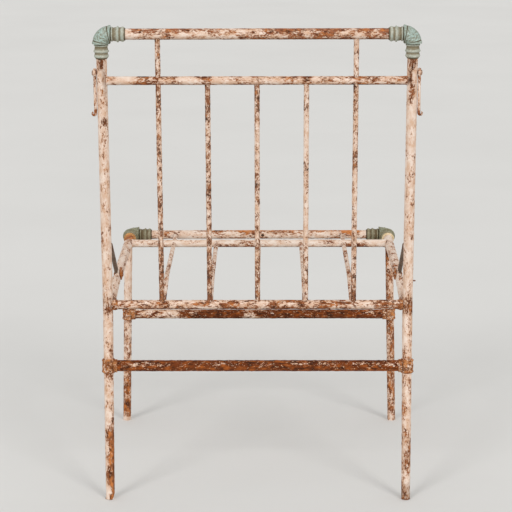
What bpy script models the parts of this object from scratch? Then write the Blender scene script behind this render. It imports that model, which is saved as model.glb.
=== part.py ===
"""Old iron garden armchair, built as its maker would build it: tubes, bars, cast elbows and rivets.

Metres, +Z up. The chair faces +Y, its back is at -Y, and +X is at the right of someone behind it.
The origin is on the floor, in the middle of the chair's outline.
"""

import math

import bmesh
import bpy
from mathutils import Matrix, Vector

# Gap kept between two pieces that touch
CLEARANCE = 0.0003
# How far a cutter runs past the piece that it cuts
OVERSHOOT = 0.01

# Roundness of the tubes and the bars, and steps round a hook's eye
TUBE_SIDES = 16
BAR_SIDES = 12
EYE_STEPS = 12

# Back frame
POST_SPACING = 0.648
POST_DIAMETER = 0.022
POST_FOOT_DIAMETER = 0.019
POST_WALL = 0.002
POST_SPLAY = 0.050
POST_BEND_RADIUS = 0.060
POST_BEND_STEPS = 2
BACK_HEIGHT = 1.015
BACK_RAKE = 0.014
TOP_RAIL_DIAMETER = 0.023
TOP_RAIL_WALL = 0.002
MID_RAIL_DROP = 0.0975
MID_RAIL_DIAMETER = 0.018
MID_RAIL_WALL = 0.0016
BACK_BAR_DIAMETER = 0.0112
BACK_BAR_PITCH = 0.1035
BACK_BAR_COUNT = 5

# How deep a bar's end sits in the tube that holds it
BAR_SEAT = 0.003

# Rear rail and rear stretcher
REAR_RAIL_HEIGHT = 0.4285
REAR_RAIL_DIAMETER = 0.020
REAR_RAIL_WALL = 0.002
KNUCKLE_LENGTH = 0.012
KNUCKLE_THICKNESS = 0.0022
REAR_STRETCHER_HEIGHT = 0.295
REAR_STRETCHER_DIAMETER = 0.024
STRETCHER_WALL = 0.0025

# Tee collars round the posts and the legs
REAR_COLLAR_HEIGHT = 0.031
FRONT_COLLAR_HEIGHT = 0.026
COLLAR_THICKNESS = 0.0038
COLLAR_REACH = 0.019
SOCKET_THICKNESS = 0.0026

# Seat
SEAT_HEIGHT = 0.4575
SIDE_SPACING = 0.628
SIDE_DIAMETER = 0.021
SIDE_WALL = 0.002
FRONT_RAIL_FORWARD = 0.587
CROSS_RAIL_FORWARD = 0.494
CROSS_RAIL_DIAMETER = 0.018
CROSS_RAIL_WALL = 0.0018
SEAT_BAR_DIAMETER = 0.010
SEAT_BAR_PITCH = 0.102
SEAT_BAR_COUNT = 5
BAR_LUMP_DIAMETER = 0.0125
BAR_BEND_RADIUS = 0.020
BAR_BEND_STEPS = 2
SPARE_HOLE_DIAMETER = 0.005
SPARE_HOLE_OFFSET = 0.009

# Knees, where side tube, brace and side link are riveted
KNEE_FORWARD = 0.1985
TONGUE_THICKNESS = 0.005
TONGUE_HEIGHT = 0.025
TONGUE_FLAT = 0.015
TONGUE_INSET = 0.0065
PRESS_LENGTH = 0.016
PRESS_STEPS = 4
LINK_OFFSET = 0.002
LINK_POST_INSET = 0.008
LINK_DIAMETER = 0.0195
LINK_HEIGHT = 0.438
LINK_WALL = 0.002
BRACE_DIAMETER = 0.0098
BRACE_EYE_THICKNESS = 0.0046
BRACE_EYE_WIDTH = 0.0156
BRACE_FLAT = 0.018
BRACE_TOP_HEIGHT = 0.560
RIVET_DIAMETER = 0.008
RIVET_HEAD_DIAMETER = 0.012
RIVET_HEAD_HEIGHT = 0.003

# Front legs
LEG_DIAMETER = 0.019
LEG_WALL = 0.002
LEG_SPLAY = 0.0145
LEG_FOOT_FORWARD = 0.524
FRONT_STRETCHER_HEIGHT = 0.2775
FRONT_STRETCHER_DIAMETER = 0.022

# Cast elbows and their beaded sleeves
ELBOW_BEND_RADIUS = 0.0195
ELBOW_DIAMETER = 0.036
ELBOW_RIM_DIAMETER = 0.0376
ELBOW_RIM_ANGLE = 5.0
ELBOW_RIM_STEP = 3.0
ELBOW_BORE_DIAMETER = 0.018
ELBOW_STEPS = 4
SOCKET_DEPTH = 0.004
SLEEVE_LENGTH = 0.031
# Share of the sleeve's length from the elbow, and height over the tube's surface
SLEEVE_BEADS = (
    (0.00, 0.0018),
    (0.10, 0.0042),
    (0.20, 0.0022),
    (0.36, 0.0030),
    (0.50, 0.0054),
    (0.62, 0.0025),
    (0.84, 0.0044),
    (1.00, 0.0012),
)

# Hooks on the outside of the posts, each one bar bent to an open eye and a small curl
HOOK_BELOW_TOP = 0.081
HOOK_LENGTH = 0.0855
HOOK_ROD_DIAMETER = 0.0065
HOOK_POST_GAP = 0.0008
EYE_START_ANGLE = -50.0
EYE_END_ANGLE = 220.0
EYE_NECK = 0.0055
CURL_RADIUS = 0.0034
CURL_END_ANGLE = 60.0
CURL_STEPS = 8
TIP_SHARE = 0.5
STUD_DIAMETER = 0.0064
STUD_RUNNING_GAP = 0.00035
STUD_HEAD_DIAMETER = 0.0115
STUD_HEAD_HEIGHT = 0.0026
STUD_SEAT = 0.003

# Pin in the right post
PIN_HEIGHT = 0.482
PIN_DIAMETER = 0.003
PIN_REACH = 0.0055

# Sharp edges stay sharp past this angle
SMOOTH_ANGLE = math.radians(40)

# Finishes: base colour, metallic, roughness
PAINTED_IRON = ((0.72, 0.58, 0.48), 0.1, 0.75)
RUSTED_IRON = ((0.28, 0.12, 0.06), 0.2, 0.85)
BARE_IRON = ((0.13, 0.10, 0.085), 0.4, 0.65)
VERDIGRIS = ((0.34, 0.40, 0.34), 0.3, 0.7)

SIDES = {"left": -1, "right": 1}


def post_splay_angle():
    """Lean of the posts below the bend, away from upright."""
    return math.atan2(POST_SPLAY, REAR_RAIL_HEIGHT)


def rear_foot_y():
    """Where the rear feet stand, so that the chair's outline is centred on the origin."""
    front_edge = FRONT_RAIL_FORWARD + ELBOW_RIM_DIAMETER / 2
    rear_edge = -POST_FOOT_DIAMETER / 2 / math.cos(post_splay_angle())
    return -(front_edge + rear_edge) / 2


def forward(distance):
    """Y of a point this far in front of the rear feet."""
    return rear_foot_y() + distance


def back_y(height):
    """Y of the posts' axes and of the back's plane at a height."""
    if height <= REAR_RAIL_HEIGHT:
        return forward(POST_SPLAY * height / REAR_RAIL_HEIGHT)
    share = (height - REAR_RAIL_HEIGHT) / (BACK_HEIGHT - REAR_RAIL_HEIGHT)
    return forward(POST_SPLAY - BACK_RAKE * share)


def post_axis(side, height):
    """Point on a post's axis."""
    return Vector((side * POST_SPACING / 2, back_y(height), height))


def leg_axis(side, height):
    """Point on a front leg's axis, which leans in and back as it rises."""
    share = height / SEAT_HEIGHT
    x = SIDE_SPACING / 2 + LEG_SPLAY * (1 - share)
    distance = LEG_FOOT_FORWARD + (CROSS_RAIL_FORWARD - LEG_FOOT_FORWARD) * share
    return Vector((side * x, forward(distance), height))


def tube_tongue_x():
    """Distance of the side tubes' flat tongues from the middle, inside the tubes' axes."""
    return SIDE_SPACING / 2 - TONGUE_INSET


def link_tongue_x():
    """Distance of the side links' tongues from the middle, lapped on the side tubes' tongues."""
    return tube_tongue_x() + TONGUE_THICKNESS + CLEARANCE


def brace_eye_x():
    """Distance of the braces' eyes from the middle, outside both tongues."""
    return link_tongue_x() + (TONGUE_THICKNESS + BRACE_EYE_THICKNESS) / 2 + CLEARANCE


def link_x():
    """Distance of the links' and braces' axes from the middle at the knees."""
    return SIDE_SPACING / 2 + LINK_OFFSET


def link_target(side, height):
    """Point at a height where a link or a brace meets the front of its post, inside the post's axis."""
    y = back_y(height) + math.sqrt((POST_DIAMETER / 2) ** 2 - LINK_POST_INSET**2)
    return Vector((side * (POST_SPACING / 2 - LINK_POST_INSET), y, height))


def hook_x():
    """Distance of the hooks' axes from the middle."""
    return POST_SPACING / 2 + POST_DIAMETER / 2 + HOOK_POST_GAP + HOOK_ROD_DIAMETER / 2


def mid_rail_height():
    """Height of the back's mid rail, which hangs a set way below the top rail."""
    return BACK_HEIGHT - MID_RAIL_DROP


def hook_height():
    """Height of the hooks' studs."""
    return BACK_HEIGHT - HOOK_BELOW_TOP


def bar_places(count, pitch):
    """X of each bar in an even row that is centred on the chair."""
    return [(index - (count - 1) / 2) * pitch for index in range(count)]


def clear_scene():
    """Removes whatever the file held before."""
    for old in list(bpy.data.objects):
        bpy.data.objects.remove(old)


def new_collection(name):
    """Adds a collection to the scene."""
    collection = bpy.data.collections.new(name)
    bpy.context.scene.collection.children.link(collection)
    return collection


def principled(name, finish):
    """A material of its own for one piece."""
    colour, metallic, roughness = finish
    material = bpy.data.materials.new(name)
    material.use_nodes = True
    shader = material.node_tree.nodes["Principled BSDF"]
    shader.inputs["Base Color"].default_value = (*colour, 1.0)
    shader.inputs["Metallic"].default_value = metallic
    shader.inputs["Roughness"].default_value = roughness
    return material


def bend(before, corner, after, radius, steps):
    """Points of the round bend that takes the place of a corner between two straight runs."""
    towards_start = (before - corner).normalized()
    towards_end = (after - corner).normalized()
    half_angle = towards_start.angle(towards_end) / 2
    centre = corner + (towards_start + towards_end).normalized() * radius / math.sin(half_angle)
    first = corner + towards_start * radius / math.tan(half_angle) - centre
    last = corner + towards_end * radius / math.tan(half_angle) - centre
    turn = first.rotation_difference(last)
    points = []
    for step in range(steps + 1):
        partial = turn.copy()
        partial.angle = turn.angle * step / steps
        points.append(centre + partial @ first)
    return points


def stretched(points, start, end):
    """The same path with its first and last runs made longer."""
    first = points[0] + (points[0] - points[1]).normalized() * start
    last = points[-1] + (points[-1] - points[-2]).normalized() * end
    return [first] + list(points[1:-1]) + [last]


def rod(name, points, diameter, sides=TUBE_SIDES, swell=None):
    """A solid round bar along a path, as a mesh with closed ends."""
    curve = bpy.data.curves.new(name + "_path", "CURVE")
    curve.dimensions = "3D"
    curve.bevel_depth = diameter / 2
    curve.bevel_resolution = (sides - 4) // 2
    curve.use_fill_caps = True
    spline = curve.splines.new("POLY")
    spline.points.add(len(points) - 1)
    for index, point in enumerate(points):
        spline.points[index].co = (*point, 1.0)
        spline.points[index].radius = swell[index] if swell else 1.0
    guide = bpy.data.objects.new(name + "_guide", curve)
    bpy.context.scene.collection.objects.link(guide)
    bpy.context.view_layer.update()
    evaluated = guide.evaluated_get(bpy.context.evaluated_depsgraph_get())
    mesh = bpy.data.meshes.new_from_object(evaluated)
    mesh.name = name
    piece = bpy.data.objects.new(name, mesh)
    piece.matrix_world = guide.matrix_world
    bpy.data.objects.remove(guide)
    weld(mesh)
    return piece


def weld(mesh):
    """Joins a mesh's loose caps to its sides and points its faces outwards."""
    cage = bmesh.new()
    cage.from_mesh(mesh)
    bmesh.ops.remove_doubles(cage, verts=cage.verts, dist=0.00001)
    bmesh.ops.recalc_face_normals(cage, faces=cage.faces)
    cage.to_mesh(mesh)
    cage.free()


def lofted(name, rings):
    """A solid through a row of sections with the same number of points, closed at both ends."""
    mesh = bpy.data.meshes.new(name)
    cage = bmesh.new()
    loops = [[cage.verts.new(point) for point in ring] for ring in rings]
    for near, far in zip(loops, loops[1:]):
        for index in range(len(near)):
            cage.faces.new((near[index - 1], near[index], far[index], far[index - 1]))
    cage.faces.new(loops[0])
    cage.faces.new(loops[-1])
    bmesh.ops.recalc_face_normals(cage, faces=cage.faces)
    cage.to_mesh(mesh)
    cage.free()
    return bpy.data.objects.new(name, mesh)


def turned(name, profile):
    """A ring turned about Z from a closed profile of (radius, height) that runs down its outside."""
    mesh = bpy.data.meshes.new(name)
    corners = [(radius, 0.0, height) for radius, height in profile]
    edges = [(index, (index + 1) % len(corners)) for index in range(len(corners))]
    mesh.from_pydata(corners, edges, [])
    piece = bpy.data.objects.new(name, mesh)
    screw = piece.modifiers.new("turn", "SCREW")
    screw.steps = TUBE_SIDES
    screw.render_steps = TUBE_SIDES
    screw.use_merge_vertices = True
    screw.merge_threshold = 0.00001
    return piece


def ball(name, centre, diameter):
    """A round lump."""
    mesh = bpy.data.meshes.new(name)
    cage = bmesh.new()
    bmesh.ops.create_uvsphere(cage, u_segments=BAR_SIDES, v_segments=8, radius=diameter / 2)
    bmesh.ops.translate(cage, verts=cage.verts, vec=centre)
    cage.to_mesh(mesh)
    cage.free()
    return bpy.data.objects.new(name, mesh)


def block(name, low, high):
    """A box between two corners."""
    mesh = bpy.data.meshes.new(name)
    cage = bmesh.new()
    bmesh.ops.create_cube(cage, size=1.0)
    size = high - low
    bmesh.ops.scale(cage, verts=cage.verts, vec=size)
    bmesh.ops.translate(cage, verts=cage.verts, vec=(low + high) / 2)
    cage.to_mesh(mesh)
    cage.free()
    return bpy.data.objects.new(name, mesh)


class Workshop:
    """Keeps the finished pieces, and the cutters that shape them, in their collections."""

    def __init__(self):
        self.chair = new_collection("iron_garden_chair")
        self.cutters = new_collection("cutters")

    def keep(self, piece, finish):
        """Puts a finished piece with the chair and gives it its material."""
        self.chair.objects.link(piece)
        piece.data.materials.clear()
        piece.data.materials.append(principled(piece.name + "_finish", finish))
        piece.data.shade_smooth()
        piece.data.set_sharp_from_angle(angle=SMOOTH_ANGLE)
        return piece

    def tool(self, cutter):
        """Puts a cutter, or a lump that is joined on, out of the render."""
        self.cutters.objects.link(cutter)
        cutter.hide_render = True
        cutter.display_type = "WIRE"
        return cutter

    def cut(self, piece, cutter):
        """Takes a cutter's shape out of a piece."""
        step = piece.modifiers.new("cut", "BOOLEAN")
        step.operation = "DIFFERENCE"
        step.solver = "EXACT"
        step.object = cutter

    def join(self, piece, addition):
        """Makes one body of a piece and an added lump."""
        step = piece.modifiers.new("join", "BOOLEAN")
        step.operation = "UNION"
        step.solver = "EXACT"
        step.object = addition


class Run:
    """The path and diameter of a tube or bar, from which the piece and every fit to it are made."""

    def __init__(self, name, points, diameter, sides=TUBE_SIDES, swell=None):
        self.name = name
        self.points = points
        self.diameter = diameter
        self.sides = sides
        self.swell = swell
        self.clearance_cutter = None

    def solid(self):
        """The bar itself."""
        return rod(self.name, self.points, self.diameter, self.sides, self.swell)

    def room(self, workshop):
        """A cutter that leaves the clearance all round this run."""
        if self.clearance_cutter is None:
            points = stretched(self.points, CLEARANCE, CLEARANCE)
            diameter = self.diameter + 2 * CLEARANCE
            cutter = rod(self.name + "_room", points, diameter, self.sides, self.swell)
            self.clearance_cutter = workshop.tool(cutter)
        return self.clearance_cutter

    def bore(self, workshop, wall, points=None):
        """A cutter that hollows this run to a wall thickness."""
        path = stretched(points or self.points, OVERSHOOT, OVERSHOOT)
        diameter = self.diameter - 2 * wall
        return workshop.tool(rod(self.name + "_bore", path, diameter, self.sides, self.swell))


def post_runs():
    """The back posts: a thinner foot, a bend at seat height, and up to the elbow's socket."""
    runs = {}
    for side_name, side in SIDES.items():
        foot = post_axis(side, 0.0)
        corner = post_axis(side, REAR_RAIL_HEIGHT)
        top = post_axis(side, BACK_HEIGHT - ELBOW_BEND_RADIUS + SOCKET_DEPTH - CLEARANCE)
        curve = bend(foot, corner, top, POST_BEND_RADIUS, POST_BEND_STEPS)
        points = [foot] + curve + [top]
        swell = [POST_FOOT_DIAMETER / POST_DIAMETER] + [1.0] * (len(points) - 1)
        runs[side] = Run(side_name + "_back_post", points, POST_DIAMETER, swell=swell)
    return runs


def side_tube_runs():
    """The straight part of each side tube, from the front elbow's socket to the pressed end."""
    runs = {}
    front = forward(FRONT_RAIL_FORWARD - ELBOW_BEND_RADIUS + SOCKET_DEPTH - CLEARANCE)
    rear = forward(KNEE_FORWARD) - TONGUE_HEIGHT / 2
    for side_name, side in SIDES.items():
        x = side * SIDE_SPACING / 2
        points = [Vector((x, front, SEAT_HEIGHT)), Vector((x, rear, SEAT_HEIGHT))]
        runs[side] = Run(side_name + "_seat_side_tube", points, SIDE_DIAMETER)
    return runs


def leg_runs():
    """The front legs, from the floor to the axes of the side tubes."""
    runs = {}
    for side_name, side in SIDES.items():
        points = [leg_axis(side, 0.0), leg_axis(side, SEAT_HEIGHT)]
        runs[side] = Run(side_name + "_front_leg", points, LEG_DIAMETER)
    return runs


def knuckle_runs():
    """The cast lumps at the ends of the seat's rear rail."""
    runs = {}
    diameter = REAR_RAIL_DIAMETER + 2 * (CLEARANCE + KNUCKLE_THICKNESS)
    for side_name, side in SIDES.items():
        centre = post_axis(side, REAR_RAIL_HEIGHT)
        inner_end = centre - Vector((side * (POST_DIAMETER / 2 + KNUCKLE_LENGTH), 0, 0))
        runs[side] = Run(side_name + "_rail_knuckle", [centre, inner_end], diameter)
    return runs


def cross_run(name, half_width, y, height, diameter):
    """A straight tube across the chair."""
    return Run(name, [Vector((-half_width, y, height)), Vector((half_width, y, height))], diameter)


def back_bar_runs():
    """The upright bars of the back, in the plane of the posts."""
    runs = []
    places = bar_places(BACK_BAR_COUNT, BACK_BAR_PITCH)
    for index, x in enumerate(places):
        outer = index in (0, len(places) - 1)
        if outer:
            top = BACK_HEIGHT - TOP_RAIL_DIAMETER / 2 + BAR_SEAT
        else:
            top = mid_rail_height() - MID_RAIL_DIAMETER / 2 + BAR_SEAT
        low = REAR_RAIL_HEIGHT + REAR_RAIL_DIAMETER / 2 - BAR_SEAT
        points = [Vector((x, back_y(low), low)), Vector((x, back_y(top), top))]
        runs.append(Run(f"back_bar_{index + 1}", points, BACK_BAR_DIAMETER, BAR_SIDES))
    return runs


def seat_bar_runs():
    """The seat bars: up from the rear rail to the line of the knees, then level to the front."""
    runs = []
    places = bar_places(SEAT_BAR_COUNT, SEAT_BAR_PITCH)
    for index, x in enumerate(places):
        rail = Vector((x, back_y(REAR_RAIL_HEIGHT), REAR_RAIL_HEIGHT))
        knee = Vector((x, forward(KNEE_FORWARD), SEAT_HEIGHT))
        rear = rail + (knee - rail).normalized() * (REAR_RAIL_DIAMETER / 2 - BAR_SEAT)
        if index in (0, len(places) - 1):
            reach = FRONT_RAIL_FORWARD - SIDE_DIAMETER / 2 + BAR_SEAT
        else:
            reach = CROSS_RAIL_FORWARD - CROSS_RAIL_DIAMETER / 2 + BAR_SEAT
        front = Vector((x, forward(reach), SEAT_HEIGHT))
        curve = bend(rear, knee, front, BAR_BEND_RADIUS, BAR_BEND_STEPS)
        points = [rear] + curve + [front]
        runs.append(Run(f"seat_bar_{index + 1}", points, SEAT_BAR_DIAMETER, BAR_SIDES))
    return runs


def floor_cutter(workshop):
    """Everything below the floor, which squares off the feet."""
    reach = POST_SPACING + FRONT_RAIL_FORWARD
    low = Vector((-reach, -reach, -reach))
    return workshop.tool(block("floor_cut", low, Vector((reach, reach, 0.0))))


def footed_tube(workshop, run, wall, floor):
    """A hollow tube that stands on the floor with a level foot."""
    points = stretched(run.points, OVERSHOOT, 0.0)
    piece = rod(run.name, points, run.diameter, run.sides, run.swell)
    workshop.cut(piece, run.bore(workshop, wall))
    workshop.cut(piece, floor)
    return piece


def open_tube(workshop, run, wall):
    """A hollow tube that is open at both ends."""
    piece = run.solid()
    workshop.cut(piece, run.bore(workshop, wall))
    return piece


def build_posts(workshop, posts, floor, studs):
    """The two back posts, drilled for the hook studs."""
    for side, run in posts.items():
        piece = footed_tube(workshop, run, POST_WALL, floor)
        workshop.cut(piece, studs[side].room(workshop))
        workshop.keep(piece, PAINTED_IRON)


def build_back_rails(workshop, posts, bars):
    """The top rail, the mid rail and the bars between them and the seat."""
    half = POST_SPACING / 2 - ELBOW_BEND_RADIUS + SOCKET_DEPTH - CLEARANCE
    top = cross_run("back_top_rail", half, back_y(BACK_HEIGHT), BACK_HEIGHT, TOP_RAIL_DIAMETER)
    rail = open_tube(workshop, top, TOP_RAIL_WALL)
    for bar in (bars[0], bars[-1]):
        workshop.cut(rail, bar.room(workshop))
    workshop.keep(rail, PAINTED_IRON)

    mid = cross_run(
        "back_mid_rail", POST_SPACING / 2, back_y(mid_rail_height()), mid_rail_height(), MID_RAIL_DIAMETER
    )
    rail = open_tube(workshop, mid, MID_RAIL_WALL)
    for run in list(posts.values()) + bars:
        workshop.cut(rail, run.room(workshop))
    workshop.keep(rail, PAINTED_IRON)

    for bar in bars:
        workshop.keep(bar.solid(), RUSTED_IRON)
    return top


def build_rear_rail(workshop, posts, knuckles, back_bars, seat_bars):
    """The seat's rear rail and the cast knuckles at its ends."""
    y = back_y(REAR_RAIL_HEIGHT)
    run = cross_run("seat_rear_rail", POST_SPACING / 2, y, REAR_RAIL_HEIGHT, REAR_RAIL_DIAMETER)
    rail = open_tube(workshop, run, REAR_RAIL_WALL)
    for other in list(posts.values()) + back_bars + seat_bars:
        workshop.cut(rail, other.room(workshop))
    workshop.keep(rail, RUSTED_IRON)

    for side, knuckle in knuckles.items():
        piece = knuckle.solid()
        workshop.cut(piece, run.room(workshop))
        workshop.cut(piece, posts[side].room(workshop))
        workshop.keep(piece, RUSTED_IRON)


def build_stretcher(workshop, name, collar_name, uprights, axis, height, diameter, collar_height):
    """A stretcher between two uprights, held in a tee collar at each end."""
    ends = {side: axis(side, height) for side in SIDES.values()}
    run = cross_run(name, ends[1].x, ends[1].y, height, diameter)
    tube = open_tube(workshop, run, STRETCHER_WALL)
    for upright in uprights.values():
        workshop.cut(tube, upright.room(workshop))
    workshop.keep(tube, RUSTED_IRON)

    for side_name, side in SIDES.items():
        upright = uprights[side]
        low = axis(side, height - collar_height / 2)
        high = axis(side, height + collar_height / 2)
        outer = upright.diameter + 2 * (COLLAR_THICKNESS + CLEARANCE)
        sleeve = rod(side_name + collar_name, [low, high], outer)
        inner_end = ends[side] - Vector((side * COLLAR_REACH, 0, 0))
        socket_diameter = diameter + 2 * (SOCKET_THICKNESS + CLEARANCE)
        socket = rod(sleeve.name + "_socket", [ends[side], inner_end], socket_diameter)
        workshop.join(sleeve, workshop.tool(socket))
        workshop.cut(sleeve, upright.room(workshop))
        workshop.cut(sleeve, run.room(workshop))
        workshop.keep(sleeve, RUSTED_IRON)


def build_legs(workshop, legs, side_tubes, floor):
    """The front legs, shaped at the top to the side tubes that rest on them."""
    for side, run in legs.items():
        piece = footed_tube(workshop, run, LEG_WALL, floor)
        workshop.cut(piece, side_tubes[side].room(workshop))
        workshop.keep(piece, PAINTED_IRON)


def pressed_bar(name, reach, diameter, flat_thickness, flat_height, flat, offset, sides=TUBE_SIDES):
    """A bar along +Y whose near end is pressed flat, and set to one side, round a rivet at Y = 0.

    reach is how far the bar runs along Y and how far it strays along X on its way beyond the flat. The
    end is round about the rivet. The flat lies offset from the bar's axis and runs to the distance flat.
    Over the next PRESS_LENGTH the section swells and moves back to the full round.
    """
    length, stray = reach
    half = flat_height / 2
    stations = [-half, 0.0, flat]
    stations += [flat + PRESS_LENGTH * (step + 1) / PRESS_STEPS for step in range(PRESS_STEPS)]
    stations.append(length)
    piece = rod(name, [Vector((0, y, 0)) for y in stations], diameter, sides)
    for vertex in piece.data.vertices:
        share = min(max((vertex.co.y - flat) / PRESS_LENGTH, 0.0), 1.0)
        swell = share * share * (3 - 2 * share)
        vertex.co.x *= (flat_thickness + (diameter - flat_thickness) * swell) / diameter
        vertex.co.x += offset * (1 - swell) + stray * max(vertex.co.y - flat, 0.0) / (length - flat)
        vertex.co.z *= (flat_height + (diameter - flat_height) * swell) / diameter
        if vertex.co.y < -half / 2:
            vertex.co.y = -math.sqrt(max(half**2 - vertex.co.z**2, 0.0))
    piece.data.update()
    return piece


def build_side(workshop, side_name, side, post, side_tube, knuckle):
    """One side of the seat: side tube, side link, brace and the rivet that holds them."""
    knee = Vector((side * SIDE_SPACING / 2, forward(KNEE_FORWARD), SEAT_HEIGHT))
    inner_face = tube_tongue_x() - TONGUE_THICKNESS / 2 - CLEARANCE
    outer_face = brace_eye_x() + BRACE_EYE_THICKNESS / 2 + CLEARANCE
    rivet_axis = [Vector((side * x, knee.y, knee.z)) for x in (inner_face, outer_face)]
    shank = Run(side_name + "_knee_rivet", rivet_axis, RIVET_DIAMETER, BAR_SIDES)

    reach = (side_tube.points[0].y - knee.y, 0.0)
    inset = -side * TONGUE_INSET
    tube = pressed_bar(
        side_tube.name, reach, SIDE_DIAMETER, TONGUE_THICKNESS, TONGUE_HEIGHT, TONGUE_FLAT, inset
    )
    tube.matrix_world = Matrix.Translation(knee)
    hollow_end = Vector((knee.x, knee.y + TONGUE_FLAT + PRESS_LENGTH + OVERSHOOT, knee.z))
    workshop.cut(tube, side_tube.bore(workshop, SIDE_WALL, [side_tube.points[0], hollow_end]))
    workshop.cut(tube, shank.room(workshop))
    workshop.keep(tube, PAINTED_IRON)

    start = Vector((side * link_x(), knee.y, knee.z))
    target = link_target(side, LINK_HEIGHT)
    inset = side * (link_tongue_x() - link_x())
    name = side_name + "_seat_side_link"
    reach = reach_beside(start, target)
    link = pressed_bar(name, reach, LINK_DIAMETER, TONGUE_THICKNESS, TONGUE_HEIGHT, TONGUE_FLAT, inset)
    link.matrix_world = aimed(start, target)
    turning = start.lerp(Vector((start.x, target.y, target.z)), TONGUE_FLAT / reach[0])
    hollow_start = turning.lerp(target, (PRESS_LENGTH + OVERSHOOT) / (reach[0] - TONGUE_FLAT))
    bore = Run(name, [hollow_start, target], LINK_DIAMETER)
    workshop.cut(link, bore.bore(workshop, LINK_WALL))
    workshop.cut(link, post.room(workshop))
    workshop.cut(link, knuckle.room(workshop))
    workshop.cut(link, shank.room(workshop))
    workshop.keep(link, PAINTED_IRON)

    target = link_target(side, BRACE_TOP_HEIGHT)
    brace = pressed_bar(
        side_name + "_side_brace",
        reach_beside(start, target),
        BRACE_DIAMETER,
        BRACE_EYE_THICKNESS,
        BRACE_EYE_WIDTH,
        BRACE_FLAT,
        side * (brace_eye_x() - link_x()),
        BAR_SIDES,
    )
    brace.matrix_world = aimed(start, target)
    workshop.cut(brace, post.room(workshop))
    workshop.cut(brace, shank.room(workshop))
    workshop.keep(brace, BARE_IRON)

    rivet = shank.solid()
    for end, outward in ((rivet_axis[0], -side), (rivet_axis[1], side)):
        head = domed_head(rivet.name + "_head", end, outward, RIVET_HEAD_DIAMETER, RIVET_HEAD_HEIGHT)
        workshop.join(rivet, workshop.tool(head))
    workshop.keep(rivet, RUSTED_IRON)


def reach_beside(start, target):
    """How far a target lies from a start in their upright plane, and how far to the side."""
    return math.hypot(target.y - start.y, target.z - start.z), target.x - start.x


def aimed(start, target):
    """Placement of a bar that starts beside the knee rivet and points at a target beside it."""
    lean = math.atan2(target.z - start.z, target.y - start.y)
    return Matrix.Translation(start) @ Matrix.Rotation(lean, 4, "X")


def domed_head(name, base, outward, diameter, height):
    """A rivet's head along X: a round disc that narrows to its top."""
    rings = (0.0, 0.45, 0.8, 1.0)
    widths = (1.0, 0.92, 0.66, 0.34)
    points = [base + Vector((outward * height * ring, 0, 0)) for ring in rings]
    return rod(name, points, diameter, BAR_SIDES, widths)


def build_elbow(workshop, name, corner, along, across, tube_along, tube_across):
    """A cast elbow round the corner where two tubes' axes meet, with a raised rim at each mouth.

    along and across point from the corner down the two tubes, and the diameters are the tubes'.
    """
    centre = corner + (along + across) * ELBOW_BEND_RADIUS
    binormal = along.cross(across)

    def ring(degrees, diameter):
        turn = math.radians(degrees)
        outward = -(across * math.cos(turn) + along * math.sin(turn))
        points = []
        for step in range(TUBE_SIDES):
            around = 2 * math.pi * step / TUBE_SIDES
            reach = outward * math.cos(around) + binormal * math.sin(around)
            points.append(centre + outward * ELBOW_BEND_RADIUS + reach * diameter / 2)
        return points

    rim_end = ELBOW_RIM_ANGLE + ELBOW_RIM_STEP
    arc = [rim_end + (90 - 2 * rim_end) * step / ELBOW_STEPS for step in range(ELBOW_STEPS + 1)]
    rings = [ring(0, ELBOW_RIM_DIAMETER), ring(ELBOW_RIM_ANGLE, ELBOW_RIM_DIAMETER)]
    rings += [ring(angle, ELBOW_DIAMETER) for angle in arc]
    rings += [ring(90 - ELBOW_RIM_ANGLE, ELBOW_RIM_DIAMETER), ring(90, ELBOW_RIM_DIAMETER)]
    piece = lofted(name, rings)
    inset = math.degrees(SOCKET_DEPTH / 2 / ELBOW_BEND_RADIUS)
    passage = [
        ring(inset + (90 - 2 * inset) * step / ELBOW_STEPS, ELBOW_BORE_DIAMETER)
        for step in range(ELBOW_STEPS + 1)
    ]
    workshop.cut(piece, workshop.tool(lofted(name + "_passage", passage)))
    for direction, diameter in ((along, tube_along), (across, tube_across)):
        mouth = corner + direction * ELBOW_BEND_RADIUS
        ends = [mouth - direction * SOCKET_DEPTH, mouth + direction * OVERSHOOT]
        socket = rod(name + "_socket", ends, diameter + 2 * CLEARANCE)
        workshop.cut(piece, workshop.tool(socket))
    workshop.keep(piece, VERDIGRIS)


def build_sleeve(workshop, name, corner, direction, tube_diameter):
    """A beaded sleeve on a tube, seated against the mouth of its elbow."""
    surface = tube_diameter / 2
    profile = [(surface + height, -share * SLEEVE_LENGTH) for share, height in SLEEVE_BEADS]
    profile += [(surface + CLEARANCE, -SLEEVE_LENGTH), (surface + CLEARANCE, 0.0)]
    piece = turned(name, profile)
    seat = corner + direction * (ELBOW_BEND_RADIUS + CLEARANCE)
    turn = (-direction).to_track_quat("Z", "Y").to_matrix().to_4x4()
    piece.matrix_world = Matrix.Translation(seat) @ turn
    workshop.keep(piece, VERDIGRIS)


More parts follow.
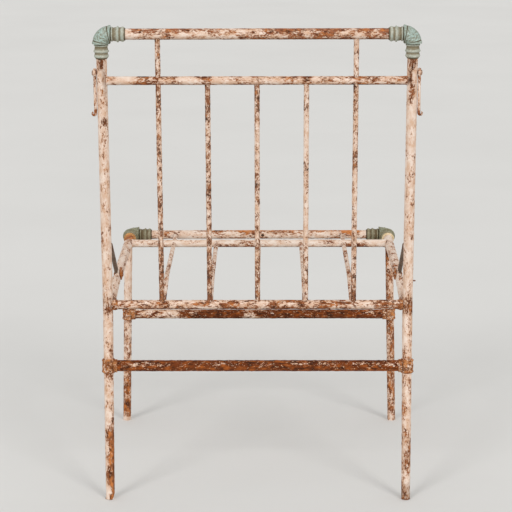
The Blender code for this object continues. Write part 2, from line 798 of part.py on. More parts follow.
def build_corners(workshop):
    """The four elbows and the eight sleeves."""
    down = (post_axis(1, REAR_RAIL_HEIGHT) - post_axis(1, BACK_HEIGHT)).normalized()
    for side_name, side in SIDES.items():
        inward = Vector((-side, 0, 0))
        top = post_axis(side, BACK_HEIGHT)
        name = side_name + "_back_elbow"
        build_elbow(workshop, name, top, down, inward, POST_DIAMETER, TOP_RAIL_DIAMETER)
        build_sleeve(workshop, side_name + "_back_post_sleeve", top, down, POST_DIAMETER)
        build_sleeve(workshop, side_name + "_top_rail_sleeve", top, inward, TOP_RAIL_DIAMETER)

        front = Vector((side * SIDE_SPACING / 2, forward(FRONT_RAIL_FORWARD), SEAT_HEIGHT))
        rearward = Vector((0, -1, 0))
        name = side_name + "_front_elbow"
        build_elbow(workshop, name, front, rearward, inward, SIDE_DIAMETER, SIDE_DIAMETER)
        build_sleeve(workshop, side_name + "_side_tube_sleeve", front, rearward, SIDE_DIAMETER)
        build_sleeve(workshop, side_name + "_front_rail_sleeve", front, inward, SIDE_DIAMETER)


def build_seat(workshop, side_tubes, legs, bars):
    """The front rail, the cross rail behind it and the seat bars."""
    half = SIDE_SPACING / 2 - ELBOW_BEND_RADIUS + SOCKET_DEPTH - CLEARANCE
    y = forward(FRONT_RAIL_FORWARD)
    front = cross_run("seat_front_rail", half, y, SEAT_HEIGHT, SIDE_DIAMETER)
    rail = open_tube(workshop, front, SIDE_WALL)
    for bar in (bars[0], bars[-1]):
        workshop.cut(rail, bar.room(workshop))
    hole_ends = [
        Vector((SPARE_HOLE_OFFSET, y - SIDE_DIAMETER / 2 - OVERSHOOT, SEAT_HEIGHT)),
        Vector((SPARE_HOLE_OFFSET, y, SEAT_HEIGHT)),
    ]
    hole = rod("spare_hole", hole_ends, SPARE_HOLE_DIAMETER, BAR_SIDES)
    workshop.cut(rail, workshop.tool(hole))
    workshop.keep(rail, PAINTED_IRON)

    y = forward(CROSS_RAIL_FORWARD)
    cross = cross_run("seat_cross_rail", SIDE_SPACING / 2, y, SEAT_HEIGHT, CROSS_RAIL_DIAMETER)
    rail = open_tube(workshop, cross, CROSS_RAIL_WALL)
    for other in list(side_tubes.values()) + list(legs.values()) + bars:
        workshop.cut(rail, other.room(workshop))
    workshop.keep(rail, PAINTED_IRON)

    for bar in bars:
        piece = bar.solid()
        if bar in (bars[0], bars[-1]):
            end = bar.points[-1] - Vector((0, BAR_SEAT + CLEARANCE, 0))
            lump = ball(bar.name + "_lump", end, BAR_LUMP_DIAMETER)
            workshop.join(piece, workshop.tool(trimmed_lump(workshop, lump, front)))
        workshop.keep(piece, PAINTED_IRON)


def trimmed_lump(workshop, lump, rail):
    """A bar's end lump, shaped to the rail that it lies against."""
    workshop.cut(lump, rail.room(workshop))
    return lump


def stud_runs():
    """The shanks of the studs that the hooks hang on."""
    runs = {}
    surface = POST_SPACING / 2 + POST_DIAMETER / 2
    head = hook_x() + HOOK_ROD_DIAMETER / 2 + CLEARANCE
    for side_name, side in SIDES.items():
        y = back_y(hook_height())
        inner_end = Vector((side * (surface - STUD_SEAT), y, hook_height()))
        points = [inner_end, Vector((side * head, y, hook_height()))]
        runs[side] = Run(side_name + "_hook_stud", points, STUD_DIAMETER, BAR_SIDES)
    return runs


def hook_path(side):
    """Points of a hook's bar about its pivot, with its thickness at each as a share of the rod's.

    The bar goes round the stud in an open eye, comes back under the pivot, runs down, and ends in a
    curl that turns out and up, away from the post, while it tapers.
    """
    eye_radius = STUD_DIAMETER / 2 + STUD_RUNNING_GAP + HOOK_ROD_DIAMETER / 2
    path = []
    for step in range(EYE_STEPS + 1):
        turn = math.radians(EYE_END_ANGLE + (EYE_START_ANGLE - EYE_END_ANGLE) * step / EYE_STEPS)
        path.append(Vector((0, math.cos(turn), math.sin(turn))) * eye_radius)
    path.append(Vector((0, 0, -eye_radius - EYE_NECK)))
    swell = [1.0] * len(path)
    for step in range(CURL_STEPS + 1):
        share = step / CURL_STEPS
        turn = math.radians(180 + (180 + CURL_END_ANGLE) * share)
        across = side * CURL_RADIUS * (1 + math.cos(turn))
        path.append(Vector((across, 0, CURL_RADIUS * math.sin(turn) - HOOK_LENGTH)))
        swell.append(1 + (TIP_SHARE - 1) * share)
    return path, swell


def build_hook(workshop, side_name, side, stud):
    """One hook, hanging from its stud, and the stud."""
    path, swell = hook_path(side)
    hook = rod(side_name + "_hook", path, HOOK_ROD_DIAMETER, BAR_SIDES, swell)
    pivot = Vector((side * hook_x(), back_y(hook_height()), hook_height()))
    hook.matrix_world = Matrix.Translation(pivot)
    workshop.keep(hook, PAINTED_IRON)

    piece = stud.solid()
    head = domed_head(piece.name + "_head", stud.points[1], side, STUD_HEAD_DIAMETER, STUD_HEAD_HEIGHT)
    workshop.join(piece, workshop.tool(head))
    workshop.keep(piece, RUSTED_IRON)


def build_pin(workshop, post):
    """The short pin that stands out of the right post."""
    y = back_y(PIN_HEIGHT)
    surface = POST_SPACING / 2 + POST_DIAMETER / 2
    inner_end = Vector((surface - STUD_SEAT, y, PIN_HEIGHT))
    points = [inner_end, Vector((surface + PIN_REACH, y, PIN_HEIGHT))]
    run = Run("right_post_pin", points, PIN_DIAMETER, BAR_SIDES)
    workshop.cut(post, run.room(workshop))
    workshop.keep(run.solid(), RUSTED_IRON)


def main():
    """Builds the whole chair."""
    clear_scene()
    workshop = Workshop()
    floor = floor_cutter(workshop)
    posts = post_runs()
    side_tubes = side_tube_runs()
    legs = leg_runs()
    knuckles = knuckle_runs()
    back_bars = back_bar_runs()
    seat_bars = seat_bar_runs()
    studs = stud_runs()

    build_posts(workshop, posts, floor, studs)
    build_back_rails(workshop, posts, back_bars)
    build_rear_rail(workshop, posts, knuckles, back_bars, seat_bars)
    build_stretcher(
        workshop,
        "rear_stretcher",
        "_rear_collar",
        posts,
        post_axis,
        REAR_STRETCHER_HEIGHT,
        REAR_STRETCHER_DIAMETER,
        REAR_COLLAR_HEIGHT,
    )
    build_legs(workshop, legs, side_tubes, floor)
    build_stretcher(
        workshop,
        "front_stretcher",
        "_front_collar",
        legs,
        leg_axis,
        FRONT_STRETCHER_HEIGHT,
        FRONT_STRETCHER_DIAMETER,
        FRONT_COLLAR_HEIGHT,
    )
    build_corners(workshop)
    build_seat(workshop, side_tubes, legs, seat_bars)
    for side_name, side in SIDES.items():
        build_side(workshop, side_name, side, posts[side], side_tubes[side], knuckles[side])
        build_hook(workshop, side_name, side, studs[side])
    build_pin(workshop, bpy.data.objects["right_back_post"])


main()
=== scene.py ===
"""Old iron garden chair in chipped cream paint and rust, with green corroded bronze corners.

Lengths are in metres in the frame's axes: +Z up, +Y towards the front of the seat, and +X to the right
of someone who stands behind the chair. A piece's place is in its mesh, and its object stays at the
origin.
"""

import logging
import math
from dataclasses import dataclass, replace
from enum import Enum, IntEnum
from functools import reduce
from statistics import NormalDist

import bpy
import numpy as np
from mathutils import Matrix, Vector


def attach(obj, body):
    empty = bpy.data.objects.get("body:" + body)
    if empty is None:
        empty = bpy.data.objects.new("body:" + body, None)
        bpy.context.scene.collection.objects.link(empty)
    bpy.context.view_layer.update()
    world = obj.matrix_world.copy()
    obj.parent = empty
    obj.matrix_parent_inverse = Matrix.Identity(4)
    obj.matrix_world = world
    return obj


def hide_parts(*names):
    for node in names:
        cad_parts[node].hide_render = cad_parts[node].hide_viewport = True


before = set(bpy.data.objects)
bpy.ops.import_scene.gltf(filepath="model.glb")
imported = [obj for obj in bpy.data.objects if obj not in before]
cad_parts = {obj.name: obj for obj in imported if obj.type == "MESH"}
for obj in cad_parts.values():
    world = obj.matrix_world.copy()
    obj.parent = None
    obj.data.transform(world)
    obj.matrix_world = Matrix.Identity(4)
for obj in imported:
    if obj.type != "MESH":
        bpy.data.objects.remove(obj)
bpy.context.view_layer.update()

logging.basicConfig(level=logging.INFO, format="%(message)s")
LOG = logging.getLogger("garden_chair")

FRAME_BODY = "chair_frame"

# Points round a tube and round a bar, and the distance between their rings
TUBE_SIDES = 44
BAR_SIDES = 28
RING_SPACING = 0.003
# How far a piece's end runs into its neighbour, and how far a sleeve's lip stands off its tube
OVERLAP = 0.002
SEAM = 0.0001
# Length over which a weld or a crust of paint at a bar's end fades out
SEAM_LENGTH = 0.006
# Radius that stands for a point, so that no face collapses
TIP_RADIUS = 0.0002
# Edges that turn by more degrees than this are drawn sharp
SHARP_ANGLE = 50.0
# Size, height and seed of the two kinds of lumps in every surface
LUMPS = ((0.006, 1.0, 3.3), (0.0022, 0.5, 8.1))
# What gives the corners of their lattice values that look random
LATTICE_WAVE = np.array([12.9898, 78.233, 37.719])
LATTICE_GAIN = 43758.5453
# Points of a round bend, and the power that flattens a rivet's crown
BEND_POINTS = 13
CROWN_POWER = 0.7
# How far the welds at the ends of a thin rail stand out
RAIL_WELDS = (0.002, 0.002)
# Slope of the hump of a worn stretch: above 1, its top is flat
HUMP = 1.6
# Specular level of all finishes
DULL = 0.25
# Reach of a worn stretch that covers a whole piece
WHOLE = 20.0

RIGHT = np.array([1.0, 0.0, 0.0])
FRONT = np.array([0.0, 1.0, 0.0])
UP = np.array([0.0, 0.0, 1.0])

Colour = tuple[float, float, float, float]
Triple = tuple[float, float, float]
Socket = bpy.types.NodeSocket
Material = bpy.types.Material


class Side(IntEnum):
    """The two sides of the chair, as the sign of their X."""

    LEFT = -1
    RIGHT = 1

    def named(self, part: str) -> str:
        """A part's name with the side before it."""
        return f"{self.name.lower()}_{part}"


class Slot(Enum):
    """Material slots of the record."""

    PAINTED = "painted_iron"
    RUSTED = "rusted_iron"
    BARE = "bare_iron"
    CAST = "cast_iron"
    BRONZE = "green_bronze"


def srgb(red: int, green: int, blue: int) -> Colour:
    """Linear colour of a screen colour.

    Args:
        red: value from 0 to 255.
        green: value from 0 to 255.
        blue: value from 0 to 255.

    Returns:
        Four linear values, with alpha. A low value is divided by 12.92, and any other follows the
        screen's curve with its power of 2.4.
    """
    parts = [value / 255 for value in (red, green, blue)]
    curved = [part / 12.92 if part <= 0.04045 else ((part + 0.055) / 1.055) ** 2.4 for part in parts]
    return (curved[0], curved[1], curved[2], 1.0)


def unit(vector: np.ndarray) -> np.ndarray:
    """A vector, or each row of an array of them, divided by its length."""
    return vector / np.linalg.norm(vector, axis=-1, keepdims=True)


def eased(share: np.ndarray) -> np.ndarray:
    """Smooth step from 0 to 1: the share squared, times 3 less twice the share."""
    share = np.clip(share, 0.0, 1.0)
    return share * share * (3 - 2 * share)


@dataclass(frozen=True)
class Layout:
    """Sizes that several sub-assemblies share, and the places that follow from them."""

    post_spacing: float = 0.648
    post_diameter: float = 0.022
    post_foot_diameter: float = 0.019
    post_splay: float = 0.050
    tube_wall: float = 0.002
    back_height: float = 1.015
    back_rake: float = 0.014
    top_rail_diameter: float = 0.023
    rear_rail_height: float = 0.4285
    rear_rail_diameter: float = 0.020
    rear_stretcher_height: float = 0.295
    rear_stretcher_diameter: float = 0.024
    front_stretcher_height: float = 0.2775
    front_stretcher_diameter: float = 0.022
    seat_height: float = 0.4575
    side_spacing: float = 0.628
    side_diameter: float = 0.021
    front_rail_forward: float = 0.587
    cross_rail_forward: float = 0.494
    knee_forward: float = 0.1985
    leg_diameter: float = 0.019
    leg_splay: float = 0.0145
    leg_foot_forward: float = 0.524
    elbow_bend_radius: float = 0.0195
    elbow_rim_diameter: float = 0.0376
    socket_depth: float = 0.004
    clearance: float = 0.0003
    bar_count: int = 5

    def inner_face(self) -> float:
        """Distance of the posts' inner faces from the middle."""
        return (self.post_spacing - self.post_diameter) / 2

    def row(self, pitch: float) -> list[tuple[int, float, bool]]:
        """Index, X and whether it is an outer one, for each bar of a row that is centred on the chair."""
        last = self.bar_count - 1
        return [(index, (index - last / 2) * pitch, index in (0, last)) for index in range(last + 1)]

    def forward(self, distance: float) -> float:
        """Y of a point in front of the rear feet, with the chair's outline centred on the origin.

        Args:
            distance: how far in front of the rear feet's axes.

        Returns:
            The distance less half the span from those axes to the middle of the outline.
        """
        lean = math.atan2(self.post_splay, self.rear_rail_height)
        front = self.front_rail_forward + self.elbow_rim_diameter / 2
        return distance - (front - self.post_foot_diameter / 2 / math.cos(lean)) / 2

    def back_y(self, height: float) -> float:
        """Y of the posts' axes at a height.

        Args:
            height: height above the floor.

        Returns:
            Y on the straight line from the foot to the seat's rear rail, or from there to the top.
        """
        if height <= self.rear_rail_height:
            return self.forward(self.post_splay * height / self.rear_rail_height)
        share = (height - self.rear_rail_height) / (self.back_height - self.rear_rail_height)
        return self.forward(self.post_splay - self.back_rake * share)

    def post(self, side: Side, height: float) -> np.ndarray:
        """Point on a post's axis at a height."""
        return np.array([side * self.post_spacing / 2, self.back_y(height), height])

    def leg(self, side: Side, height: float) -> np.ndarray:
        """Point on a front leg's axis, on the straight line from its foot to its side tube.

        Args:
            side: the leg's side.
            height: height above the floor.

        Returns:
            The point.
        """
        share = height / self.seat_height
        x = self.side_spacing / 2 + self.leg_splay * (1 - share)
        distance = self.leg_foot_forward + (self.cross_rail_forward - self.leg_foot_forward) * share
        return np.array([side * x, self.forward(distance), height])

    def knee(self, x: float) -> np.ndarray:
        """Point on the line of the knees at an X."""
        return np.array([x, self.forward(self.knee_forward), self.seat_height])


@dataclass(frozen=True)
class Wear:
    """A worn stretch of a piece, or a stretch of painted shade: where it is on one axis, how far it reaches
    and what it does.

    Attributes:
        axis: 0, 1 or 2 for X, Y or Z.
        centre: its middle on that axis.
        reach: how far from the middle it fades out.
        rust: takes paint away, in spreads of the rust pattern. A negative value keeps paint.
        orange: brightens the rust.
        dirt_and_shade: darkens everything: dirt, and painted shade on the undersides of rails and elbows.
        towards: the side that it lies on, or None for all round.
        narrow: how closely it keeps to that side.
    """

    axis: int
    centre: float
    reach: float
    rust: float = 0.0
    orange: float = 0.0
    dirt_and_shade: float = 0.0
    towards: Triple | None = None
    narrow: float = 2.0

    def share(self, points: np.ndarray, outward: np.ndarray) -> np.ndarray:
        """How strongly it acts at each point.

        Args:
            points: array of points, shape (..., 3).
            outward: outward direction at each.

        Returns:
            Values from 0 to 1: a smooth hump along the axis, times the outward direction's part
            towards its side, raised to the power of narrow.
        """
        hump = eased(HUMP * (1 - np.abs(points[..., self.axis] - self.centre) / self.reach))
        if self.towards is None:
            return hump
        return hump * np.clip(outward @ np.array(self.towards), 0.0, 1.0) ** self.narrow


def over(value: float, narrow: float = 2.0) -> Wear:
    """Rust along the whole upper side of a piece, or paint kept there for a value below 0."""
    return Wear(0, 0.0, WHOLE, rust=value, towards=(0, 0, 1), narrow=narrow)


def underside_shade_and_rust(dirt_and_shade: float, rust: float = 0.0) -> Wear:
    """Painted shade: a dark line along the whole underside of a piece, with rust there too where rust is
    above 0.
    """
    return Wear(0, 0.0, WHOLE, rust=rust, dirt_and_shade=dirt_and_shade, towards=(0, 0, -1), narrow=3.0)


@dataclass(frozen=True)
class IronFinish:
    """Old paint over rusty iron.

    Attributes:
        paint: the paint's colour.
        shade: its dirtier colour.
        stain: what bleeds from the rust into the paint.
        dark: the darkest rust.
        rust: the usual rust.
        bright: the freshest rust.
        cover: share of the surface that still has paint.
        patch: size of the broad patches.
        speck: size of the small chips.
        along: the axis that the piece runs along, on which patches are stretched.
        stretch: how much longer than wide they are.
    """

    paint: Colour = srgb(230, 211, 196)
    shade: Colour = srgb(208, 174, 148)
    stain: Colour = srgb(196, 138, 94)
    dark: Colour = srgb(74, 38, 20)
    rust: Colour = srgb(138, 78, 42)
    bright: Colour = srgb(194, 120, 64)
    cover: float = 0.7
    patch: float = 0.016
    speck: float = 0.0036
    along: int = 2
    stretch: float = 1.8


@dataclass(frozen=True)
class BronzeFinish:
    """Green corroded copper alloy.

    Attributes:
        pale: the high parts.
        blue: their bluer patches.
        green: the usual colour.
        olive: the grooves, and the painted shade under the elbows.
        dark: the deepest dirt.
        stain: the darker part of what has run over it.
        pale_stain: the paler part of that.
        blueness: how much of the high parts is blue, from 0 to 1.
    """

    pale: Colour = srgb(186, 195, 184)
    blue: Colour = srgb(168, 190, 182)
    green: Colour = srgb(146, 153, 142)
    olive: Colour = srgb(124, 119, 98)
    # dark: the deepest dirt, and the deepest painted shade under the elbows.
    dark: Colour = srgb(62, 54, 38)
    stain: Colour = srgb(152, 94, 48)
    pale_stain: Colour = srgb(200, 152, 98)
    blueness: float = 0.5


@dataclass(frozen=True)
class DarkFinish:
    """Bare iron with a thin brown skin of rust and a dull shine where hands have rubbed it.

    Attributes:
        skin: the thin rust.
        worn: the rubbed iron.
        rust: thicker rust in spots.
    """

    skin: Colour = srgb(96, 80, 66)
    worn: Colour = srgb(128, 108, 90)
    rust: Colour = srgb(116, 72, 42)


STRETCHER_RUST = IronFinish(
    shade=srgb(206, 166, 132),
    dark=srgb(62, 28, 9),
    rust=srgb(108, 51, 16),
    bright=srgb(158, 84, 32),
    cover=0.1,
    patch=0.010,
    speck=0.003,
    along=0,
    stretch=2.2,
)
SEAT_PAINT = IronFinish(
    paint=srgb(228, 212, 198), shade=srgb(212, 184, 162), cover=0.8, patch=0.018, along=0, stretch=2.2
)
COLLAR_RUST = replace(
    STRETCHER_RUST,
    dark=srgb(84, 44, 20),
    rust=srgb(146, 86, 46),
    bright=srgb(198, 132, 78),
    cover=0.28,
    patch=0.008,
    stretch=1.2,
)
BACK_BAR_PAINT = IronFinish(
    dark=srgb(62, 42, 32),
    rust=srgb(134, 84, 56),
    bright=srgb(186, 122, 74),
    cover=0.75,
    patch=0.008,
    speck=0.0026,
    stretch=1.6,
)
POST_PAINT = IronFinish(cover=0.865, patch=0.020, rust=srgb(140, 84, 50))
MID_RAIL_PAINT = IronFinish(cover=0.74, patch=0.016, along=0, stretch=2.2)
REAR_RAIL_RUST = IronFinish(cover=0.56, patch=0.013, along=0, stretch=2.2)
LEG_PAINT = IronFinish(cover=0.66, patch=0.013)
SEAT_BAR_PAINT = replace(SEAT_PAINT, cover=0.74, patch=0.016, along=1)
HOOK_PAINT = replace(SEAT_PAINT, cover=0.78, patch=0.010, speck=0.003, along=2)
TOP_RAIL_PAINT = IronFinish(
    rust=srgb(152, 94, 64), cover=0.74, patch=0.012, speck=0.003, along=0, stretch=2.0
)

BACK_ELBOW = BronzeFinish(blueness=0.9)
BACK_SLEEVE = BronzeFinish(
    pale=srgb(190, 190, 177), blue=srgb(174, 184, 173), green=srgb(164, 163, 146), olive=srgb(128, 117, 94)
)
FRONT_ELBOW = BronzeFinish(
    pale=srgb(164, 165, 145), blue=srgb(147, 155, 138), green=srgb(136, 131, 104), olive=srgb(122, 104, 66)
)
FRONT_SLEEVE = BronzeFinish(
    pale=srgb(160, 153, 129), blue=srgb(142, 144, 122), green=srgb(128, 118, 92), olive=srgb(98, 82, 56)
)
PAINTED_SLEEVE = replace(FRONT_SLEEVE, stain=srgb(206, 176, 122), pale_stain=srgb(228, 210, 184))

# Worn stretches of each post, of both posts and of each front leg
POST_WEAR: dict[Side, tuple[Wear, ...]] = {
    Side.LEFT: (
        Wear(2, 0.022, 0.014, rust=-3.5, towards=(-0.8, -0.6, 0), narrow=0.7),
        Wear(2, 0.004, 0.009, rust=-4.0, towards=(-1, 0, 0), narrow=0.6),
        Wear(2, 0.070, 0.135, rust=2.2, orange=0.06, towards=(0.8, -0.6, 0), narrow=0.8),
        Wear(2, 0.070, 0.055, rust=0.7),
        Wear(2, 0.900, 0.020, rust=0.9, orange=-0.1, dirt_and_shade=0.3, towards=(0.6, -0.8, 0), narrow=8.0),
        Wear(2, 0.832, 0.012, rust=1.5, orange=-0.1, dirt_and_shade=0.3, towards=(0.4, -0.9, 0), narrow=5.0),
    ),
    Side.RIGHT: (
        Wear(2, 0.0, 0.05, rust=1.0, dirt_and_shade=0.4),
        Wear(2, 0.190, 0.040, rust=1.1, orange=0.08, towards=(-0.9, -0.4, 0), narrow=1.5),
        Wear(2, 0.100, 0.050, rust=0.7, orange=0.06, dirt_and_shade=0.12),
        Wear(2, 0.900, 0.042, rust=1.35, dirt_and_shade=0.06, towards=(-0.2, -1, 0), narrow=3.5),
    ),
}
BOTH_POSTS_WEAR = (
    Wear(2, 0.955, 0.020, rust=1.9, orange=-0.2, dirt_and_shade=0.5, towards=(0, -1, 0), narrow=6.0),
    Wear(2, 0.430, 0.030, rust=1.0, dirt_and_shade=0.12),
    Wear(2, 0.345, 0.06, rust=0.1),
    Wear(2, 0.295, 0.022, rust=0.7, orange=0.08),
    Wear(2, 0.150, 0.22, rust=0.3),
)
LEG_WEAR: dict[Side, tuple[Wear, ...]] = {
    Side.LEFT: (
        Wear(2, 0.40, 0.13, rust=-1.0),
        Wear(2, 0.06, 0.07, rust=1.0, orange=0.03),
        Wear(2, 0.0, 0.012, rust=-2.5),
    ),
    Side.RIGHT: (
        Wear(2, 0.35, 0.14, rust=1.3, towards=(-0.9, -0.4, 0)),
        Wear(2, 0.40, 0.09, rust=-0.4),
        Wear(2, 0.13, 0.16, rust=0.5, orange=0.06),
    ),
}


@dataclass(frozen=True)
class Pattern:
    """Cloudy noise.

    Attributes:
        size: size of its features.
        detail: how many finer layers it has.
        rough: how strong each finer layer is.
        shift: moves it, so that two of one size differ.
    """

    size: float
    detail: float
    rough: float
    shift: float


# Shares of patches, chips and grain in the rust pattern, and how far the sum spreads round a half
PATCH_SHARE, CHIP_SHARE, GRAIN_SHARE = 0.42, 0.38, 0.20
PATCH_SPREAD = 0.065
# Width of a chip's edge, how far before it the stain starts, and how wide and how strong the stain is
CHIP_EDGE = 0.011
STAIN_LEAD = 0.035
STAIN_WIDTH = 0.085
STAIN_STRENGTH = 0.7
# What is left of a colour in a chip's dark outline, and where dirt and painted shade are full
OUTLINE_STRENGTH = 2.0
OUTLINE_LEFT = 0.55
DIRT_AND_SHADE_LEFT = 0.16

PAINT_CLOUDS = Pattern(0.011, 4.0, 0.6, 1.3)
PAINT_SPECKS = Pattern(0.0032, 3.0, 0.62, 5.2)
RUST_TONE = Pattern(0.006, 5.0, 0.66, 9.4)
RUST_GLOW = Pattern(0.009, 4.0, 0.65, 12.9)
RUST_CRUMBS = Pattern(0.0026, 2.0, 0.6, 4.4)
BRONZE_CLOUDS = Pattern(0.012, 4.0, 0.6, 2.2)
BRONZE_GRAIN = Pattern(0.0030, 4.0, 0.68, 6.1)
BRONZE_SPOTS = Pattern(0.0042, 3.0, 0.6, 8.8)
DARK_STREAKS = Pattern(0.010, 5.0, 0.62, 2.7)
DARK_SPOTS = Pattern(0.0038, 4.0, 0.66, 6.6)
FLOOR_CLOUDS = Pattern(0.6, 4.0, 0.5, 0.4)


class NodeBench:
    """A material's node tree, with a short call for each kind of node that the finishes use."""

    def __init__(self, name: str, stretch: tuple[float, ...] = (1.0, 1.0, 1.0)) -> None:
        """Starts a material.

        Args:
            name: the material's name.
            stretch: what its patterns' coordinates are divided by on each axis.
        """
        self.material = bpy.data.materials.new(name)
        self.material.use_nodes = True
        self.tree = self.material.node_tree
        self.shader = self.tree.nodes["Principled BSDF"]
        self.shader.inputs["Specular IOR Level"].default_value = DULL
        place = self.node("ShaderNodeTexCoord", {}).outputs["Object"]
        self.place = self.node("ShaderNodeVectorMath", {0: place, 1: stretch}, operation="DIVIDE").outputs[0]

    def node(self, kind: str, inputs: dict[str | int, object], **settings: object) -> bpy.types.Node:
        """Adds a node.

        Args:
            kind: the node's type.
            inputs: an output or a plain value for each input that is set.
            settings: properties to set on it.

        Returns:
            The node.
        """
        made = self.tree.nodes.new(kind)
        for key, value in settings.items():
            setattr(made, key, value)
        for key, value in inputs.items():
            self.feed(made.inputs[key], value)
        return made

    def feed(self, socket: Socket, value: object) -> None:
        """Links an output to a socket, or sets the socket to a plain value.

        Args:
            socket: the input.
            value: the output or the plain value.
        """
        if isinstance(value, Socket):
            self.tree.links.new(value, socket)
        else:
            socket.default_value = value

    def noise(self, pattern: Pattern) -> Socket:
        """Cloudy noise from 0 to 1.

        Args:
            pattern: its pattern.

        Returns:
            The noise.
        """
        shift = (pattern.shift, pattern.shift * 0.7, -pattern.shift)
        moved = self.node("ShaderNodeVectorMath", {0: self.place, 1: shift}, operation="ADD")
        inputs = {
            "Vector": moved.outputs[0],
            "Scale": 1 / pattern.size,
            "Detail": pattern.detail,
            "Roughness": pattern.rough,
        }
        return self.node("ShaderNodeTexNoise", inputs).outputs["Fac"]

    def math(self, operation: str, first: object, second: object, clamp: bool = False) -> Socket:
        """One calculation on two values, kept from 0 to 1 where clamp is set."""
        made = self.node("ShaderNodeMath", {0: first, 1: second}, operation=operation, use_clamp=clamp)
        return made.outputs[0]

    def blend(self, *parts: tuple[Socket, float]) -> Socket:
        """Weighted sum of values.

        Args:
            parts: pairs of a value and its weight.

        Returns:
            The sum.
        """
        weighted = [self.math("MULTIPLY", value, weight) for value, weight in parts]
        return reduce(lambda total, value: self.math("ADD", total, value), weighted)

    def step(self, value: object, middle: float, width: float) -> Socket:
        """0 below a middle and 1 above it, with a ramp of a width between."""
        inputs = {"Value": value, "From Min": middle - width / 2, "From Max": middle + width / 2}
        return self.node("ShaderNodeMapRange", inputs, clamp=True).outputs["Result"]

    def mix(self, share: object, first: object, second: object) -> Socket:
        """A colour between two."""
        inputs = {"Factor": share, "A": first, "B": second}
        return self.node("ShaderNodeMix", inputs, data_type="RGBA").outputs["Result"]

    def darken(self, colour: object, share: object, left: float) -> Socket:
        """A colour of which only a part is left where share is 1, a little less in blue than in red."""
        inputs = {"Factor": share, "A": colour, "B": (left, left * 0.92, left * 0.84, 1.0)}
        return self.node("ShaderNodeMix", inputs, data_type="RGBA", blend_type="MULTIPLY").outputs["Result"]

    def carried(self, name: str) -> Socket:
        """A number that the mesh carries at each point."""
        return self.node("ShaderNodeAttribute", {}, attribute_name=name).outputs["Fac"]

    def finished(
        self,
        colour: object,
        share: object,
        rough: tuple[float, float],
        metallic: float,
        bumps: object,
        depth: float,
    ) -> Material:
        """Sets the shader.

        Args:
            colour: the base colour.
            share: where the surface is rough, from 0 to 1.
            rough: roughness where share is 0 and where it is 1.
            metallic: how metallic it is.
            bumps: height of the surface relief.
            depth: depth of that relief in metres.

        Returns:
            The material.
        """
        inputs = self.shader.inputs
        self.feed(inputs["Base Color"], colour)
        inputs["Metallic"].default_value = metallic
        if rough[0] == rough[1]:
            inputs["Roughness"].default_value = rough[0]
        else:
            ends = {"Value": share, "To Min": rough[0], "To Max": rough[1]}
            spread = self.node("ShaderNodeMapRange", ends, clamp=True)
            self.feed(inputs["Roughness"], spread.outputs["Result"])
        relief = self.node("ShaderNodeBump", {"Distance": depth, "Height": bumps})
        self.feed(inputs["Normal"], relief.outputs["Normal"])
        return self.material


def iron_material(name: str, finish: IronFinish) -> Material:
    """Chipped paint over rusty iron.

    Broad patches, chips and grain are added up, and rust shows where the sum passes a level. The level
    is the one that a bell curve round a half, as wide as the sum's own spread, passes at the finish's
    cover. The mesh's rust value moves the sum. A stain bleeds round each chip, small specks lie in the
    paint, and crumbs of paint lie in the rust.

    Args:
        name: the material's name.
        finish: its colours and sizes.

    Returns:
        The material.
    """
    bench = NodeBench(name, tuple(finish.stretch if axis == finish.along else 1.0 for axis in range(3)))
    broad = bench.noise(Pattern(finish.patch, 4.0, 0.6, 0.0))
    chips = bench.noise(Pattern(finish.speck, 3.0, 0.65, 3.1))
    grain = bench.noise(Pattern(finish.speck / 3, 2.0, 0.6, 7.7))
    worn = bench.carried("rust")
    pattern = bench.blend(
        (broad, PATCH_SHARE), (chips, CHIP_SHARE), (grain, GRAIN_SHARE), (worn, PATCH_SPREAD)
    )
    level = NormalDist(0.5, PATCH_SPREAD).inv_cdf(finish.cover)
    rusty = bench.step(pattern, level, CHIP_EDGE)
    near = bench.step(pattern, level - STAIN_LEAD, STAIN_WIDTH)

    paint = bench.mix(bench.step(bench.noise(PAINT_CLOUDS), 0.52, 0.24), finish.paint, finish.shade)
    paint = bench.mix(bench.math("MULTIPLY", near, STAIN_STRENGTH), paint, finish.stain)
    specks = bench.blend((bench.noise(PAINT_SPECKS), 0.8), (broad, 0.2), (worn, PATCH_SPREAD / 2))
    paint = bench.mix(bench.step(specks, 0.63, 0.05), paint, finish.rust)

    tone = bench.noise(RUST_TONE)
    metal = bench.mix(bench.step(tone, 0.48, 0.16), finish.dark, finish.rust)
    glow = bench.blend((bench.noise(RUST_GLOW), 1.0), (bench.carried("orange"), 1.0))
    metal = bench.mix(bench.step(glow, 0.6, 0.18), metal, finish.bright)
    metal = bench.mix(bench.step(bench.noise(RUST_CRUMBS), 0.66, 0.07), metal, finish.shade)

    colour = bench.mix(rusty, paint, metal)
    edge = bench.math("MULTIPLY", rusty, bench.math("SUBTRACT", 1.0, rusty))
    colour = bench.darken(colour, bench.math("MULTIPLY", edge, OUTLINE_STRENGTH, clamp=True), OUTLINE_LEFT)
    # Darkens by the carried value: dirt, and painted shade on the rails' undersides and in the spare hole
    colour = bench.darken(colour, bench.carried("dirt_and_shade"), DIRT_AND_SHADE_LEFT)
    bumps = bench.blend((tone, 0.5), (grain, 0.35), (rusty, -0.7))
    return bench.finished(colour, rusty, (0.6, 0.92), 0.0, bumps, 0.0005)


